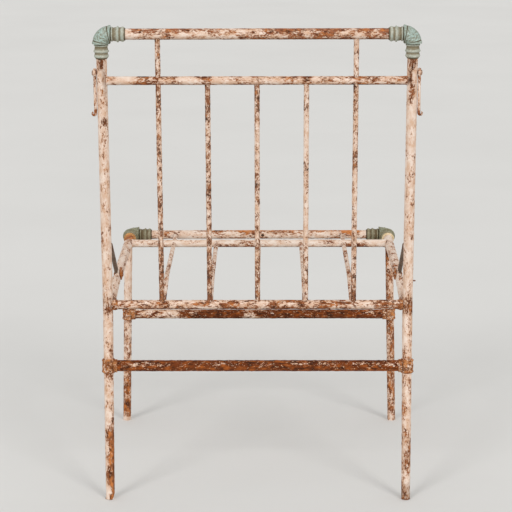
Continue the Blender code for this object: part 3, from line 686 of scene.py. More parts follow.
def bronze_material(name: str, finish: BronzeFinish) -> Material:
    """Corroded bronze: chalky greens that turn olive and dark where the mesh's grime value is high.

    Args:
        name: the material's name.
        finish: its colours.

    Returns:
        The material.
    """
    bench = NodeBench(name)
    broad, small = bench.noise(BRONZE_CLOUDS), bench.noise(BRONZE_GRAIN)
    high = bench.mix(bench.step(broad, 0.6 - 0.2 * finish.blueness, 0.16), finish.pale, finish.blue)
    colour = bench.mix(bench.step(small, 0.5, 0.2), high, finish.green)
    # The carried value is patina in the hollows, and painted shade on the elbows' undersides
    deep = bench.blend((bench.carried("dirt_and_shade"), 1.0), (small, 0.5), (broad, 0.25))
    colour = bench.mix(bench.step(deep, 0.62, 0.36), colour, finish.olive)
    colour = bench.mix(bench.step(deep, 1.05, 0.4), colour, finish.dark)
    colour = bench.mix(bench.step(bench.noise(BRONZE_SPOTS), 0.68, 0.06), colour, finish.olive)
    stained = bench.step(bench.blend((bench.carried("orange"), 1.0), (small, 0.9)), 0.7, 0.12)
    stain = bench.mix(bench.step(small, 0.5, 0.16), finish.stain, finish.pale_stain)
    bumps = bench.blend((small, 0.6), (broad, 0.4))
    return bench.finished(bench.mix(stained, colour, stain), 0.0, (0.72, 0.72), 0.1, bumps, 0.0005)


def dark_material(name: str, finish: DarkFinish) -> Material:
    """Bare iron with a brown skin, rubbed paler in long streaks and rusty in spots.

    Args:
        name: the material's name.
        finish: its colours.

    Returns:
        The material.
    """
    bench = NodeBench(name)
    streaks, spots = bench.noise(DARK_STREAKS), bench.noise(DARK_SPOTS)
    colour = bench.mix(bench.step(streaks, 0.53, 0.18), finish.skin, finish.worn)
    rusty = bench.step(bench.blend((spots, 1.0), (bench.carried("orange"), 0.5)), 0.62, 0.1)
    colour = bench.darken(bench.mix(rusty, colour, finish.rust), bench.carried("dirt_and_shade"), 0.2)
    bumps = bench.blend((spots, 0.7), (streaks, 0.3))
    return bench.finished(colour, rusty, (0.55, 0.85), 0.25, bumps, 0.0004)


def lattice_noise(points: np.ndarray, size: float, seed: float) -> np.ndarray:
    """Smooth noise from -1 to 1 at points in space.

    Each corner of a lattice has the fraction of a large sine as its value, and a point takes the smooth
    blend of the eight corners round it.

    Args:
        points: array of points, shape (..., 3).
        size: size of a cell.
        seed: moves the pattern.

    Returns:
        A value for each point.
    """
    place = points / size + seed
    cell = np.floor(place)
    share = eased(place - cell)
    total = np.zeros(points.shape[:-1])
    for corner in np.ndindex(2, 2, 2):
        value = np.sin((cell + np.array(corner)) @ LATTICE_WAVE) * LATTICE_GAIN
        value = 2 * (value - np.floor(value)) - 1
        total += value * np.where(corner, share, 1 - share).prod(axis=-1)
    return total


def distances(path: np.ndarray) -> np.ndarray:
    """Distance along a path at each of its points: the running sum of its steps."""
    return np.concatenate([[0.0], np.cumsum(np.linalg.norm(np.diff(path, axis=0), axis=1))])


def resampled(points: np.ndarray, spacing: float = RING_SPACING) -> np.ndarray:
    """A path with evenly spaced points, read off along its length.

    Args:
        points: the path's own points, shape (count, 3).
        spacing: distance between the new points.

    Returns:
        The new points, with the first and the last one kept.
    """
    along = distances(points)
    marks = np.linspace(0.0, along[-1], max(round(along[-1] / spacing), 2) + 1)
    return np.stack([np.interp(marks, along, points[:, axis]) for axis in range(3)], axis=1)


def across(reach: float, y: float, height: float, spacing: float = RING_SPACING) -> np.ndarray:
    """Axis of a rail across the chair, with its reach to each side, its Y and its height."""
    return resampled(np.array([[-reach, y, height], [reach, y, height]]), spacing)


def bend(before: np.ndarray, corner: np.ndarray, after: np.ndarray, radius: float) -> np.ndarray:
    """A path with a round bend in the place of its corner.

    The bend's centre is on the bisector, the radius over the sine of the half angle away. Its points
    are the first spoke times the cosine plus the spoke across it times the sine.

    Args:
        before: the start of the first run.
        corner: where the runs meet.
        after: the end of the second run.
        radius: the bend's radius.

    Returns:
        The points, shape (count, 3).
    """
    back, ahead = unit(before - corner), unit(after - corner)
    half = math.acos(float(back @ ahead)) / 2
    centre = corner + unit(back + ahead) * radius / math.sin(half)
    first = corner + back * radius / math.tan(half) - centre
    last = corner + ahead * radius / math.tan(half) - centre
    side = unit(last - first * (last @ first) / (first @ first)) * radius
    turns = np.linspace(0.0, math.pi - 2 * half, BEND_POINTS)[:, None]
    return np.concatenate([before[None], centre + first * np.cos(turns) + side * np.sin(turns), after[None]])


def smooth_through(marks: tuple[float, ...], heights: tuple[float, ...], count: int) -> np.ndarray:
    """Smooth curve through turning points, with half a cosine wave from each to the next.

    Args:
        marks: places of the turning points, rising.
        heights: their heights.
        count: how many points the curve has.

    Returns:
        Rows of place and height.
    """
    places = np.linspace(marks[0], marks[-1], count)
    after = np.clip(np.searchsorted(marks, places, side="right"), 1, len(marks) - 1)
    low, high = np.array(marks)[after - 1], np.array(marks)[after]
    start, end = np.array(heights)[after - 1], np.array(heights)[after]
    share = (1 - np.cos(math.pi * (places - low) / (high - low))) / 2
    return np.stack([places, start + (end - start) * share], axis=1)


def circle(sides: int) -> np.ndarray:
    """Angles of the points in a ring."""
    return np.linspace(0.0, 2 * math.pi, sides, endpoint=False)


@dataclass
class Surface:
    """Grid of points that closes round its sides.

    Attributes:
        points: shape (rings, sides, 3).
        outward: outward direction at each point.
        loop: True where the last ring joins the first one, False where both ends are capped.
        dirt_and_shade: darkening at each point, or None: patina in the hollows, painted shade under the
            elbows and in the spare hole.
    """

    points: np.ndarray
    outward: np.ndarray
    loop: bool = False
    dirt_and_shade: np.ndarray | None = None

    def faces(self) -> list[list[int]]:
        """Faces of the grid, turned so that they point outwards.

        A quad joins a point, its neighbour in the ring and the same two of the next ring. The sum of
        each quad's centre times its area vector is below 0 where the grid is inside out.

        Returns:
            Lists of point numbers.
        """
        rings, sides, _ = self.points.shape
        ring, side = np.ogrid[: rings if self.loop else rings - 1, :sides]
        beside, after = (side + 1) % sides, (ring + 1) % rings
        corners = [ring * sides + side, ring * sides + beside, after * sides + beside, after * sides + side]
        quads = np.stack(corners, axis=-1).reshape(-1, 4)
        flat = self.points.reshape(-1, 3)
        a, b, c, d = (flat[quads[:, index]] for index in range(4))
        volume = np.sum((a + b + c + d - 4 * flat.mean(axis=0)) * np.cross(c - a, d - b))
        first, last = list(range(sides)), list(range((rings - 1) * sides, rings * sides))
        caps = [] if self.loop else [first[::-1], last]
        if volume < 0:
            return quads[:, ::-1].tolist() + [cap[::-1] for cap in caps]
        return quads.tolist() + caps


def place_piece(
    name: str,
    surface: Surface,
    slot: Slot,
    material: Material,
    wear: tuple[Wear, ...] = (),
    relief: float = 0.00025,
    body: str = FRAME_BODY,
    stands_in: bool = True,
) -> None:
    """Makes a piece's mesh, writes its wear to it and puts it in the frame.

    The points move out and in by smooth noise, and none goes below the floor.

    Args:
        name: the node that it stands in for, or its own name where it stands in for none.
        surface: its grid.
        slot: the record's slot.
        material: its material.
        wear: its worn stretches, and its stretches of painted shade.
        relief: height of the lumps in its surface.
        body: the body that it rides on.
        stands_in: whether it stands in for a node.
    """
    points, outward = surface.points, surface.outward
    lumps = sum(height * lattice_noise(points, size, seed) for size, height, seed in LUMPS)
    placed = points + outward * (lumps * relief)[..., None]
    placed[..., 2] = np.maximum(placed[..., 2], 0.0)
    title = name + "_dressed" if stands_in else name
    mesh = bpy.data.meshes.new(title)
    mesh.from_pydata(placed.reshape(-1, 3).tolist(), [], surface.faces())
    for key in ("rust", "orange", "dirt_and_shade"):
        total = np.zeros(points.shape[:-1])
        for stretch in wear:
            total += getattr(stretch, key) * stretch.share(points, outward)
        if key == "dirt_and_shade" and surface.dirt_and_shade is not None:
            total += surface.dirt_and_shade
        layer = mesh.attributes.new(key, "FLOAT", "POINT")
        layer.data.foreach_set("value", total.reshape(-1).astype(np.float32))
    mesh.materials.append(material)
    mesh.shade_smooth()
    mesh.set_sharp_from_angle(angle=math.radians(SHARP_ANGLE))
    piece = bpy.data.objects.new(title, mesh)
    bpy.context.scene.collection.objects.link(piece)
    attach(piece, body)
    if stands_in:
        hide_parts(name)
    LOG.info("%s: %d faces, %s", title, len(mesh.polygons), slot.value)


def carried_rings(path: np.ndarray, radii: np.ndarray, sides: int, plane: np.ndarray) -> Surface:
    """A circle carried along a path.

    At each point of the path the circle is its radius times the cosine on the plane's normal, made
    square to the path, plus the sine on the direction square to both.

    Args:
        path: centres, shape (rings, 3).
        radii: radius of each ring.
        sides: points in a ring.
        plane: normal of the plane that the path bends in, one for all or one for each ring.

    Returns:
        The surface.
    """
    tangents = unit(np.gradient(path, axis=0))
    plane = np.broadcast_to(plane, path.shape)
    first = unit(plane - tangents * np.sum(plane * tangents, axis=1, keepdims=True))
    second = np.cross(tangents, first)
    angles = circle(sides)[None, :, None]
    outward = first[:, None] * np.cos(angles) + second[:, None] * np.sin(angles)
    return Surface(path[:, None] + outward * radii[:, None, None], outward)


def rod_surface(
    path: np.ndarray,
    diameter: float,
    seams: tuple[float, float] = (0.0, 0.0),
    sides: int = TUBE_SIDES,
    plane: np.ndarray = UP,
) -> Surface:
    """A round bar or a tube whose ends are hidden in its neighbours.

    Args:
        path: its axis, evenly spaced.
        diameter: its diameter.
        seams: how far a weld or a crust of paint stands out at each end. It fades as the square of the
            distance.
        sides: points in a ring.
        plane: normal of the plane that it bends in.

    Returns:
        The surface.
    """
    along = distances(path)
    radii = np.full(len(path), diameter / 2)
    for height, distance in zip(seams, (along, along[-1] - along)):
        radii = radii + height * np.clip(1 - distance / SEAM_LENGTH, 0.0, 1.0) ** 2
    return carried_rings(path, radii, sides, plane)


def footed_surface(path: np.ndarray, radii: np.ndarray, wall: float) -> Surface:
    """An open tube that stands on the floor: its outside up, then its bore down again.

    Args:
        path: its axis from the foot up.
        radii: outer radius at each ring.
        wall: thickness of its wall.

    Returns:
        The surface.
    """
    outer = carried_rings(path, radii, TUBE_SIDES, RIGHT)
    inner = carried_rings(path, radii - wall, TUBE_SIDES, RIGHT)
    points = np.concatenate([outer.points, inner.points[::-1]])
    return Surface(points, np.concatenate([outer.outward, -inner.outward[::-1]]), loop=True)


def turned_surface(
    base: np.ndarray, axis: np.ndarray, profile: np.ndarray, sides: int = TUBE_SIDES
) -> Surface:
    """A profile turned about an axis.

    Args:
        base: the profile's start on the axis.
        axis: direction of the axis.
        profile: rows of distance along the axis and radius.
        sides: points in a ring.

    Returns:
        The surface.
    """
    direction = unit(axis)
    helper = UP if abs(direction[2]) < 0.9 else FRONT
    first = unit(helper - direction * (direction @ helper))
    second = np.cross(direction, first)
    angles = circle(sides)[:, None]
    outward = first * np.cos(angles) + second * np.sin(angles)
    points = base + profile[:, 0, None, None] * direction + profile[:, 1, None, None] * outward
    return Surface(points, np.broadcast_to(outward, points.shape))


def lipped(profile: np.ndarray, radius: float, both: bool = True) -> np.ndarray:
    """A profile that drops at its ends to just above the tube that it sits on.

    Args:
        profile: rows of distance and radius.
        radius: the tube's radius.
        both: True for both ends, False for the far one only.

    Returns:
        The longer profile.
    """
    ends = np.stack([profile[[0, -1], 0], np.full(2, radius + SEAM)], axis=1)
    return np.concatenate([ends[: int(both)], profile, ends[1:]])


def dome(height: float, radius: float) -> np.ndarray:
    """Profile of a hammered rivet head.

    Args:
        height: its height.
        radius: its radius.

    Returns:
        Rows of the height times the sine, and the radius times the cosine raised to a power that
        flattens the crown.
    """
    turns = np.linspace(0.0, math.pi / 2, 10)
    widths = np.maximum(radius * np.cos(turns) ** CROWN_POWER, TIP_RADIUS)
    return np.stack([height * np.sin(turns), widths], axis=1)


@dataclass
class BackFrame:
    """The posts, the two rails and the five bars of the back, and the stretcher between the posts."""

    layout: Layout
    bend_radius: float = 0.060
    mid_rail_drop: float = 0.0975
    mid_rail_diameter: float = 0.018
    bar_diameter: float = 0.0112
    bar_pitch: float = 0.1035
    bar_seams: tuple[float, float] = (0.0014, 0.0010)
    bar_rust: tuple[float, ...] = (0.4, 0.3, 0.0, -0.5, 0.05)
    lip_height: float = 0.012
    lip_depth: float = 0.0035

    def build(self) -> None:
        """Builds all pieces."""
        self.posts()
        self.top_rail()
        self.mid_rail()
        self.bars()
        self.stretcher()

    def posts(self) -> None:
        """Tubes that stand on the floor, bent at the seat. Below the bend they thin towards the foot,
        and the left one's lip is crushed inwards."""
        layout = self.layout
        paint = iron_material("post_paint", POST_PAINT)
        top_height = layout.back_height - layout.elbow_bend_radius + layout.socket_depth - layout.clearance
        for side in Side:
            foot, corner, top = (layout.post(side, z) for z in (0.0, layout.rear_rail_height, top_height))
            path = resampled(bend(foot, corner, top, self.bend_radius))
            share = np.clip(path[:, 2] / layout.rear_rail_height, 0.0, 1.0)
            thin = layout.post_foot_diameter / 2
            radii = thin + (layout.post_diameter / 2 - thin) * share
            surface = footed_surface(path, radii, layout.tube_wall)
            if side is Side.LEFT:
                low = np.clip(1 - surface.points[..., 2] / self.lip_height, 0.0, 1.0)
                inside = np.clip(surface.outward[..., 0], 0.0, 1.0)
                surface.points[..., 0] -= self.lip_depth * low * inside
            trail = Wear(
                2, 0.926, 0.022, rust=1.4, orange=-0.2, dirt_and_shade=0.5, towards=(-0.4 * side, -0.9, 0), narrow=12.0
            )
            wear = POST_WEAR[side] + (trail,) + BOTH_POSTS_WEAR
            place_piece(side.named("back_post"), surface, Slot.PAINTED, paint, wear)

    def top_rail(self) -> None:
        """The rail between the top elbows: long rust patches on its upper half, paint below."""
        layout = self.layout
        reach = layout.post_spacing / 2 - layout.elbow_bend_radius
        path = across(reach, layout.back_y(layout.back_height), layout.back_height)
        wear = (
            over(0.5),
            # Painted shade along the underside, with rust
            underside_shade_and_rust(0.45, 0.6),
            Wear(0, 0.10, 0.14, rust=0.7),
            Wear(0, 0.26, 0.06, rust=0.5),
            Wear(0, -0.16, 0.06, rust=0.9, towards=(0, -0.4, 0.9), narrow=3.0),
            Wear(0, -0.235, 0.034, rust=1.3, towards=(0, -0.5, 0.85), narrow=3.0),
            Wear(0, -0.28, 0.03, rust=-0.8),
        )
        paint = iron_material("top_rail_paint", TOP_RAIL_PAINT)
        place_piece("back_top_rail", rod_surface(path, layout.top_rail_diameter), Slot.PAINTED, paint, wear)

    def mid_rail(self) -> None:
        """The thinner rail that the bars pass through."""
        layout = self.layout
        height = layout.back_height - self.mid_rail_drop
        path = across(layout.inner_face() + OVERLAP, layout.back_y(height), height)
        wear = tuple(Wear(0, x, 0.014, rust=0.6) for _, x, _ in layout.row(self.bar_pitch)) + (
            over(0.3),
            # Painted shade along the underside, with rust
            underside_shade_and_rust(0.5, 1.0),
            Wear(0, -0.275, 0.025, rust=-1.2),
            Wear(0, -0.238, 0.016, rust=0.8),
            Wear(0, 0.22, 0.16, rust=0.4, orange=0.02),
        )
        paint = iron_material("mid_rail_paint", MID_RAIL_PAINT)
        surface = rod_surface(path, self.mid_rail_diameter, RAIL_WELDS)
        place_piece("back_mid_rail", surface, Slot.PAINTED, paint, wear)

    def bars(self) -> None:
        """Five bars: the outer two reach the top rail, the inner three the mid rail."""
        layout = self.layout
        paint = iron_material("back_bar_paint", BACK_BAR_PAINT)
        low = layout.rear_rail_height + layout.rear_rail_diameter / 2 - OVERLAP
        mid = layout.back_height - self.mid_rail_drop
        outer_top = layout.back_height - layout.top_rail_diameter / 2 + OVERLAP
        inner_top = mid - self.mid_rail_diameter / 2 + OVERLAP
        for index, x, outer in layout.row(self.bar_pitch):
            top = outer_top if outer else inner_top
            path = resampled(np.array([[x, layout.back_y(low), low], [x, layout.back_y(top), top]]))
            surface = rod_surface(path, self.bar_diameter, self.bar_seams, BAR_SIDES, RIGHT)
            wear = (
                Wear(2, low, WHOLE, rust=self.bar_rust[index]),
                Wear(2, low, 0.19, rust=0.6),
                Wear(2, low, 0.03, rust=0.5, dirt_and_shade=0.12),
                Wear(2, mid - 0.03, 0.07, rust=0.35 if outer else 0.7),
                Wear(2, 0.66 + 0.02 * index, 0.03, rust=0.8),
            )
            place_piece(f"back_bar_{index + 1}", surface, Slot.RUSTED, paint, wear, 0.0004)

    def stretcher(self) -> None:
        """The heavy tube between the posts: red brown rust with crumbs of paint on its upper half."""
        layout = self.layout
        height = layout.rear_stretcher_height
        path = across(layout.inner_face(), layout.back_y(height), height)
        wear = (
            Wear(0, 0.0, WHOLE, rust=-1.2, towards=(0, -0.85, 0.5), narrow=6.0),
            Wear(0, 0.0, WHOLE, orange=0.07, towards=(0, -0.7, -0.7)),
            Wear(0, -0.26, 0.05, rust=-0.5),
            Wear(0, 0.3, 0.03, rust=-0.6),
        )
        rust = iron_material("rear_stretcher_rust", replace(STRETCHER_RUST, cover=0.03))
        surface = rod_surface(path, layout.rear_stretcher_diameter)
        place_piece("rear_stretcher", surface, Slot.RUSTED, rust, wear, 0.0005)


@dataclass
class SeatFrame:
    """The rails and the bars of the seat, the front legs and the stretcher between them."""

    layout: Layout
    cross_rail_diameter: float = 0.018
    bar_diameter: float = 0.010
    bar_pitch: float = 0.102
    bar_seams: tuple[float, float] = (0.0012, 0.0010)
    bar_spacing: float = 0.0015
    bar_bend_radius: float = 0.020
    lump_diameter: float = 0.0125
    lump_inset: float = 0.004
    hole_diameter: float = 0.0064
    hole_x: float = 0.009
    hole_depth: float = 0.005
    hole_edge: float = 0.0004
    hole_spacing: float = 0.0012
    hole_sides: int = 120
    leg_overlap: float = 0.004

    def build(self) -> None:
        """Builds all pieces."""
        self.rear_rail()
        self.front_rail()
        self.cross_rail()
        self.bars()
        self.legs()
        self.stretcher()

    def rear_rail(self) -> None:
        """The rail between the posts that all bars start from."""
        layout = self.layout
        height = layout.rear_rail_height
        path = across(layout.inner_face() + OVERLAP, layout.back_y(height), height)
        # The second stretch is painted shade along the underside, with rust
        wear = (over(-0.3), underside_shade_and_rust(0.5, 0.8), Wear(0, 0.0, 0.13, rust=0.25), Wear(0, 0.16, 0.06, rust=0.4))
        rust = iron_material("rear_rail_rust", REAR_RAIL_RUST)
        surface = rod_surface(path, layout.rear_rail_diameter)
        place_piece("seat_rear_rail", surface, Slot.RUSTED, rust, wear, 0.0004)

    def front_rail(self) -> None:
        """The rail between the front elbows, with a golden stain along its top and one spare hole.

        The hole is a round pit: points nearer to its middle than its radius go in by its depth. Painted shade
        darkens its inside.
        """
        layout = self.layout
        reach = layout.side_spacing / 2 - layout.elbow_bend_radius
        y, height = layout.forward(layout.front_rail_forward), layout.seat_height
        path = across(reach, y, height, self.hole_spacing)
        surface = rod_surface(path, layout.side_diameter, sides=self.hole_sides)
        offset = surface.points - np.array([self.hole_x, y, height])
        distance = np.hypot(offset[..., 0], offset[..., 2])
        pit = np.clip((self.hole_diameter / 2 - distance) / self.hole_edge, 0.0, 1.0)
        # Painted shade inside the spare hole, from the pit's mask
        surface.dirt_and_shade = np.where(surface.outward[..., 1] < 0, pit, 0.0)
        surface.points += FRONT * (surface.dirt_and_shade * self.hole_depth)[..., None]
        wear = (
            Wear(0, 0.06, 0.26, rust=1.2, orange=0.14, towards=(0, -0.25, 0.97), narrow=6.0),
            # Painted shade along the underside, with rust
            underside_shade_and_rust(0.3, 0.8),
            Wear(0, 0.225, 0.032, rust=2.0, orange=0.14, towards=(0, -0.6, 0.8)),
            Wear(0, -0.02, 0.05, rust=0.4),
        )
        paint = iron_material("front_rail_paint", SEAT_PAINT)
        place_piece("seat_front_rail", surface, Slot.PAINTED, paint, wear)

    def cross_rail(self) -> None:
        """The rail between the side tubes, just behind the front rail."""
        layout = self.layout
        reach = (layout.side_spacing - layout.side_diameter) / 2 + OVERLAP
        path = across(reach, layout.forward(layout.cross_rail_forward), layout.seat_height)
        surface = rod_surface(path, self.cross_rail_diameter, RAIL_WELDS)
        wear = (
            # Painted shade along the underside, with rust
            underside_shade_and_rust(0.5, 1.3),
            Wear(0, 0.23, 0.045, rust=1.9, towards=(0, -0.8, -0.6)),
            Wear(0, -0.05, 0.05, rust=0.7, towards=(0, -0.8, -0.6)),
        )
        paint = iron_material("cross_rail_paint", replace(SEAT_PAINT, cover=0.9))
        place_piece("seat_cross_rail", surface, Slot.PAINTED, paint, wear)

    def bars(self) -> None:
        """Five bars that rise from the rear rail, bend at the line of the knees and run forward.

        The outer two end in a round lump at the front rail. Its radius is that of a ball round a point
        just inside the end.
        """
        layout = self.layout
        paint = iron_material("seat_bar_paint", SEAT_BAR_PAINT)
        outer_stop = layout.front_rail_forward - layout.side_diameter / 2 + OVERLAP / 2
        inner_stop = layout.cross_rail_forward - self.cross_rail_diameter / 2 + OVERLAP
        for index, x, outer in layout.row(self.bar_pitch):
            start = np.array([x, layout.back_y(layout.rear_rail_height), layout.rear_rail_height])
            knee = layout.knee(x)
            rear = start + unit(knee - start) * (layout.rear_rail_diameter / 2 - OVERLAP)
            stop = layout.forward(outer_stop if outer else inner_stop)
            front = np.array([x, stop, layout.seat_height])
            path = resampled(bend(rear, knee, front, self.bar_bend_radius), self.bar_spacing)
            surface = rod_surface(path, self.bar_diameter, self.bar_seams, BAR_SIDES, RIGHT)
            wear: tuple[Wear, ...] = (Wear(1, rear[1], 0.05, rust=0.8),)
            if outer:
                along = distances(path)
                lump = self.lump_diameter / 2
                offset = (along[-1] - self.lump_inset - along) / lump
                ball = lump * np.sqrt(np.clip(1 - offset**2, 0.0, 1.0))
                surface = carried_rings(path, np.maximum(self.bar_diameter / 2, ball), BAR_SIDES, RIGHT)
                wear += (Wear(1, stop, 0.010, rust=1.2, dirt_and_shade=0.35),)
            place_piece(f"seat_bar_{index + 1}", surface, Slot.PAINTED, paint, wear, 0.00035)

    def legs(self) -> None:
        """Straight tubes from the side tubes to the floor, open at the foot."""
        layout = self.layout
        paint = iron_material("leg_paint", LEG_PAINT)
        top = layout.seat_height - layout.side_diameter / 2 + self.leg_overlap
        collar = Wear(2, layout.front_stretcher_height, 0.03, rust=0.7)
        for side in Side:
            path = resampled(np.array([layout.leg(side, 0.0), layout.leg(side, top)]))
            surface = footed_surface(path, np.full(len(path), layout.leg_diameter / 2), layout.tube_wall)
            wear = (collar,) + LEG_WEAR[side]
            place_piece(side.named("front_leg"), surface, Slot.PAINTED, paint, wear)

    def stretcher(self) -> None:
        """The tube between the front legs: dark rust with paint left near its left end."""
        layout = self.layout
        axis = layout.leg(Side.RIGHT, layout.front_stretcher_height)
        path = across(axis[0] - layout.leg_diameter / 2, axis[1], axis[2])
        wear = (
            over(-0.4),
            # Painted shade along the underside
            underside_shade_and_rust(0.4),
            Wear(0, -0.25, 0.08, rust=-1.0),
            Wear(0, -0.21, 0.030, rust=-0.6),
            Wear(0, -0.02, 0.03, rust=-0.9),
            Wear(0, -0.09, 0.07, rust=0.6, dirt_and_shade=0.1),
            Wear(0, 0.15, 0.14, rust=0.6),
        )
        rust = iron_material("front_stretcher_rust", replace(STRETCHER_RUST, cover=0.16))
        surface = rod_surface(path, layout.front_stretcher_diameter)
        place_piece("front_stretcher", surface, Slot.RUSTED, rust, wear, 0.0005)


@dataclass
class SeatSides:
    """On each side: the side tube, the link behind the knee, the brace and the rivet through them."""

    layout: Layout
    tongue: Triple = (0.005, 0.025, 0.015)
    tongue_inset: float = 0.0065
    press_length: float = 0.016
    flat_corner: float = 0.42
    ring_spacing: float = 0.0025
    least_rings: int = 8
    eye_rings: int = 12
    eye_start: float = 0.12
    link_offset: float = 0.002
    link_post_inset: float = 0.008
    link_diameter: float = 0.0195
    link_height: float = 0.438
    brace_diameter: float = 0.0098
    brace_eye: Triple = (0.0046, 0.0156, 0.018)
    brace_top_height: float = 0.560
    rivet_diameter: float = 0.008
    rivet_head_diameter: float = 0.012
    rivet_head_height: float = 0.003

    def tube_tongue_x(self) -> float:
        """Distance of the side tube's flat end from the middle."""
        return self.layout.side_spacing / 2 - self.tongue_inset

    def link_tongue_x(self) -> float:
        """Distance of the link's flat end from the middle, against the side tube's."""
        return self.tube_tongue_x() + self.tongue[0] + self.layout.clearance

    def brace_eye_x(self) -> float:
        """Distance of the brace's eye from the middle, against the link's flat end."""
        return self.link_tongue_x() + (self.tongue[0] + self.brace_eye[0]) / 2 + self.layout.clearance

    def link_x(self) -> float:
        """Distance of the links' and the braces' axes from the middle."""
        return self.layout.side_spacing / 2 + self.link_offset

    def target(self, side: Side, height: float) -> np.ndarray:
        """Where a link or a brace meets the front of its post.

        Args:
            side: its side.
            height: height above the floor.

        Returns:
            The point, as far in front of the post's axis as the circle of its section reaches there.
        """
        reach = math.sqrt((self.layout.post_diameter / 2) ** 2 - self.link_post_inset**2)
        return np.array([side * self.link_x(), self.layout.back_y(height) + reach, height])

    def pressed(
        self, length: float, diameter: float, flat: Triple, offset: float, sides: int
    ) -> Surface:
        """A bar along +Y whose near end is pressed flat, and set to one side, round a rivet at Y = 0.

        A section is an ellipse with squared corners: its half widths times the cosine and the sine,
        raised to a power below 1 on the flat and 1 on the round. Behind the rivet the flat's height is
        the chord of a circle about it. Past the flat the section swells to the round along a smooth
        step.

        Args:
            length: distance from the rivet to the far end.
            diameter: diameter of the round.
            flat: thickness, height and length of the flat.
            offset: X of the flat, from the bar's axis.
            sides: points in a ring.

        Returns:
            The surface.
        """
        thickness, height, flat_length = flat
        turns = np.linspace(self.eye_start, math.pi / 2, self.eye_rings, endpoint=False)
        rings = max(round(length / self.ring_spacing), self.least_rings) + 1
        marks = np.concatenate([-height / 2 * np.cos(turns), np.linspace(0.0, length, rings)])[:, None]
        swell = eased((marks - flat_length) / self.press_length)
        chord = 2 * np.sqrt(np.clip((height / 2) ** 2 - np.minimum(marks, 0.0) ** 2, 0.0, None))
        half_x = (thickness + (diameter - thickness) * swell) / 2
        half_z = (chord + (diameter - chord) * swell) / 2
        power = self.flat_corner + (1 - self.flat_corner) * swell
        cosine, sine = np.cos(circle(sides)), -np.sin(circle(sides))
        x = half_x * np.sign(cosine) * np.abs(cosine) ** power + offset * (1 - swell)
        z = half_z * np.sign(sine) * np.abs(sine) ** power
        outward = np.stack(np.broadcast_arrays(cosine, 0.0 * marks, sine), axis=-1)
        return Surface(np.stack(np.broadcast_arrays(x, marks, z), axis=-1), outward)

    def strut(
        self, side: Side, height: float, flat: Triple, x: float, diameter: float, sides: int
    ) -> Surface:
        """A pressed bar from the knee to the post, turned about X to point there: a link or a brace.

        Args:
            side: its side.
            height: height at which it meets the post.
            flat: thickness, height and length of its flat.
            x: distance of its flat from the middle of the chair.
            diameter: its diameter.
            sides: points in a ring.

        Returns:
            The surface.
        """
        start = self.layout.knee(side * self.link_x())
        run = self.target(side, height) - start
        length = float(np.linalg.norm(run)) + OVERLAP
        bar = self.pressed(length, diameter, flat, side * (x - self.link_x()), sides)
        lean = math.atan2(run[2], run[1])
        cosine, sine = math.cos(lean), math.sin(lean)
        turn = np.array([[1.0, 0.0, 0.0], [0.0, cosine, -sine], [0.0, sine, cosine]])
        return Surface(bar.points @ turn.T + start, bar.outward @ turn.T)

    def build(self) -> None:
        """Builds all pieces."""
        paint = iron_material("side_paint", replace(SEAT_PAINT, along=1))
        link_paint = iron_material("link_paint", replace(SEAT_PAINT, cover=0.88, along=1))
        dark = dark_material("brace_iron", DarkFinish())
        rust = iron_material("rivet_rust", replace(STRETCHER_RUST, cover=0.2, stretch=1.0))
        for side in Side:
            self.side_tube(side, paint)
            self.link(side, link_paint)
            self.brace(side, dark)
            self.rivet(side, rust)

    def side_tube(self, side: Side, paint: Material) -> None:
        """The tube from the front elbow back to the knee, with rust on its flat end.

        The left one's front end is rusty too, and the right one's has kept its paint.

        Args:
            side: its side.
            paint: the material.
        """
        layout = self.layout
        knee = layout.knee(side * layout.side_spacing / 2)
        front = layout.front_rail_forward - layout.elbow_bend_radius
        offset = -side * self.tongue_inset
        length = layout.forward(front) - knee[1]
        bar = self.pressed(length, layout.side_diameter, self.tongue, offset, TUBE_SIDES)
        rust, orange = (2.4, 0.14) if side is Side.LEFT else (-2.0, 0.0)
        wear = (
            Wear(1, knee[1] - 0.006, 0.030, rust=1.5, orange=0.1, dirt_and_shade=0.1),
            Wear(1, layout.forward((front + layout.cross_rail_forward) / 2), 0.05, rust=rust, orange=orange),
        )
        surface = Surface(bar.points + knee, bar.outward)
        place_piece(side.named("seat_side_tube"), surface, Slot.PAINTED, paint, wear)

    def link(self, side: Side, paint: Material) -> None:
        """The short tube from the knee down to the post.

        Args:
            side: its side.
            paint: the material.
        """
        height = self.link_height
        surface = self.strut(side, height, self.tongue, self.link_tongue_x(), self.link_diameter, TUBE_SIDES)
        wear = (
            Wear(1, self.target(side, height)[1], 0.02, rust=0.9, dirt_and_shade=0.15),
            Wear(1, self.layout.knee(0.0)[1], 0.014, rust=0.6),
        )
        place_piece(side.named("seat_side_link"), surface, Slot.PAINTED, paint, wear)

    def brace(self, side: Side, dark: Material) -> None:
        """The bar from the knee up to the post.

        Args:
            side: its side.
            dark: the material.
        """
        height = self.brace_top_height
        surface = self.strut(side, height, self.brace_eye, self.brace_eye_x(), self.brace_diameter, BAR_SIDES)
        wear = (
            Wear(1, self.target(side, height)[1], 0.02, orange=0.3, dirt_and_shade=0.2),
            Wear(1, self.layout.knee(0.0)[1], 0.016, orange=0.4),
        )
        place_piece(side.named("side_brace"), surface, Slot.BARE, dark, wear)

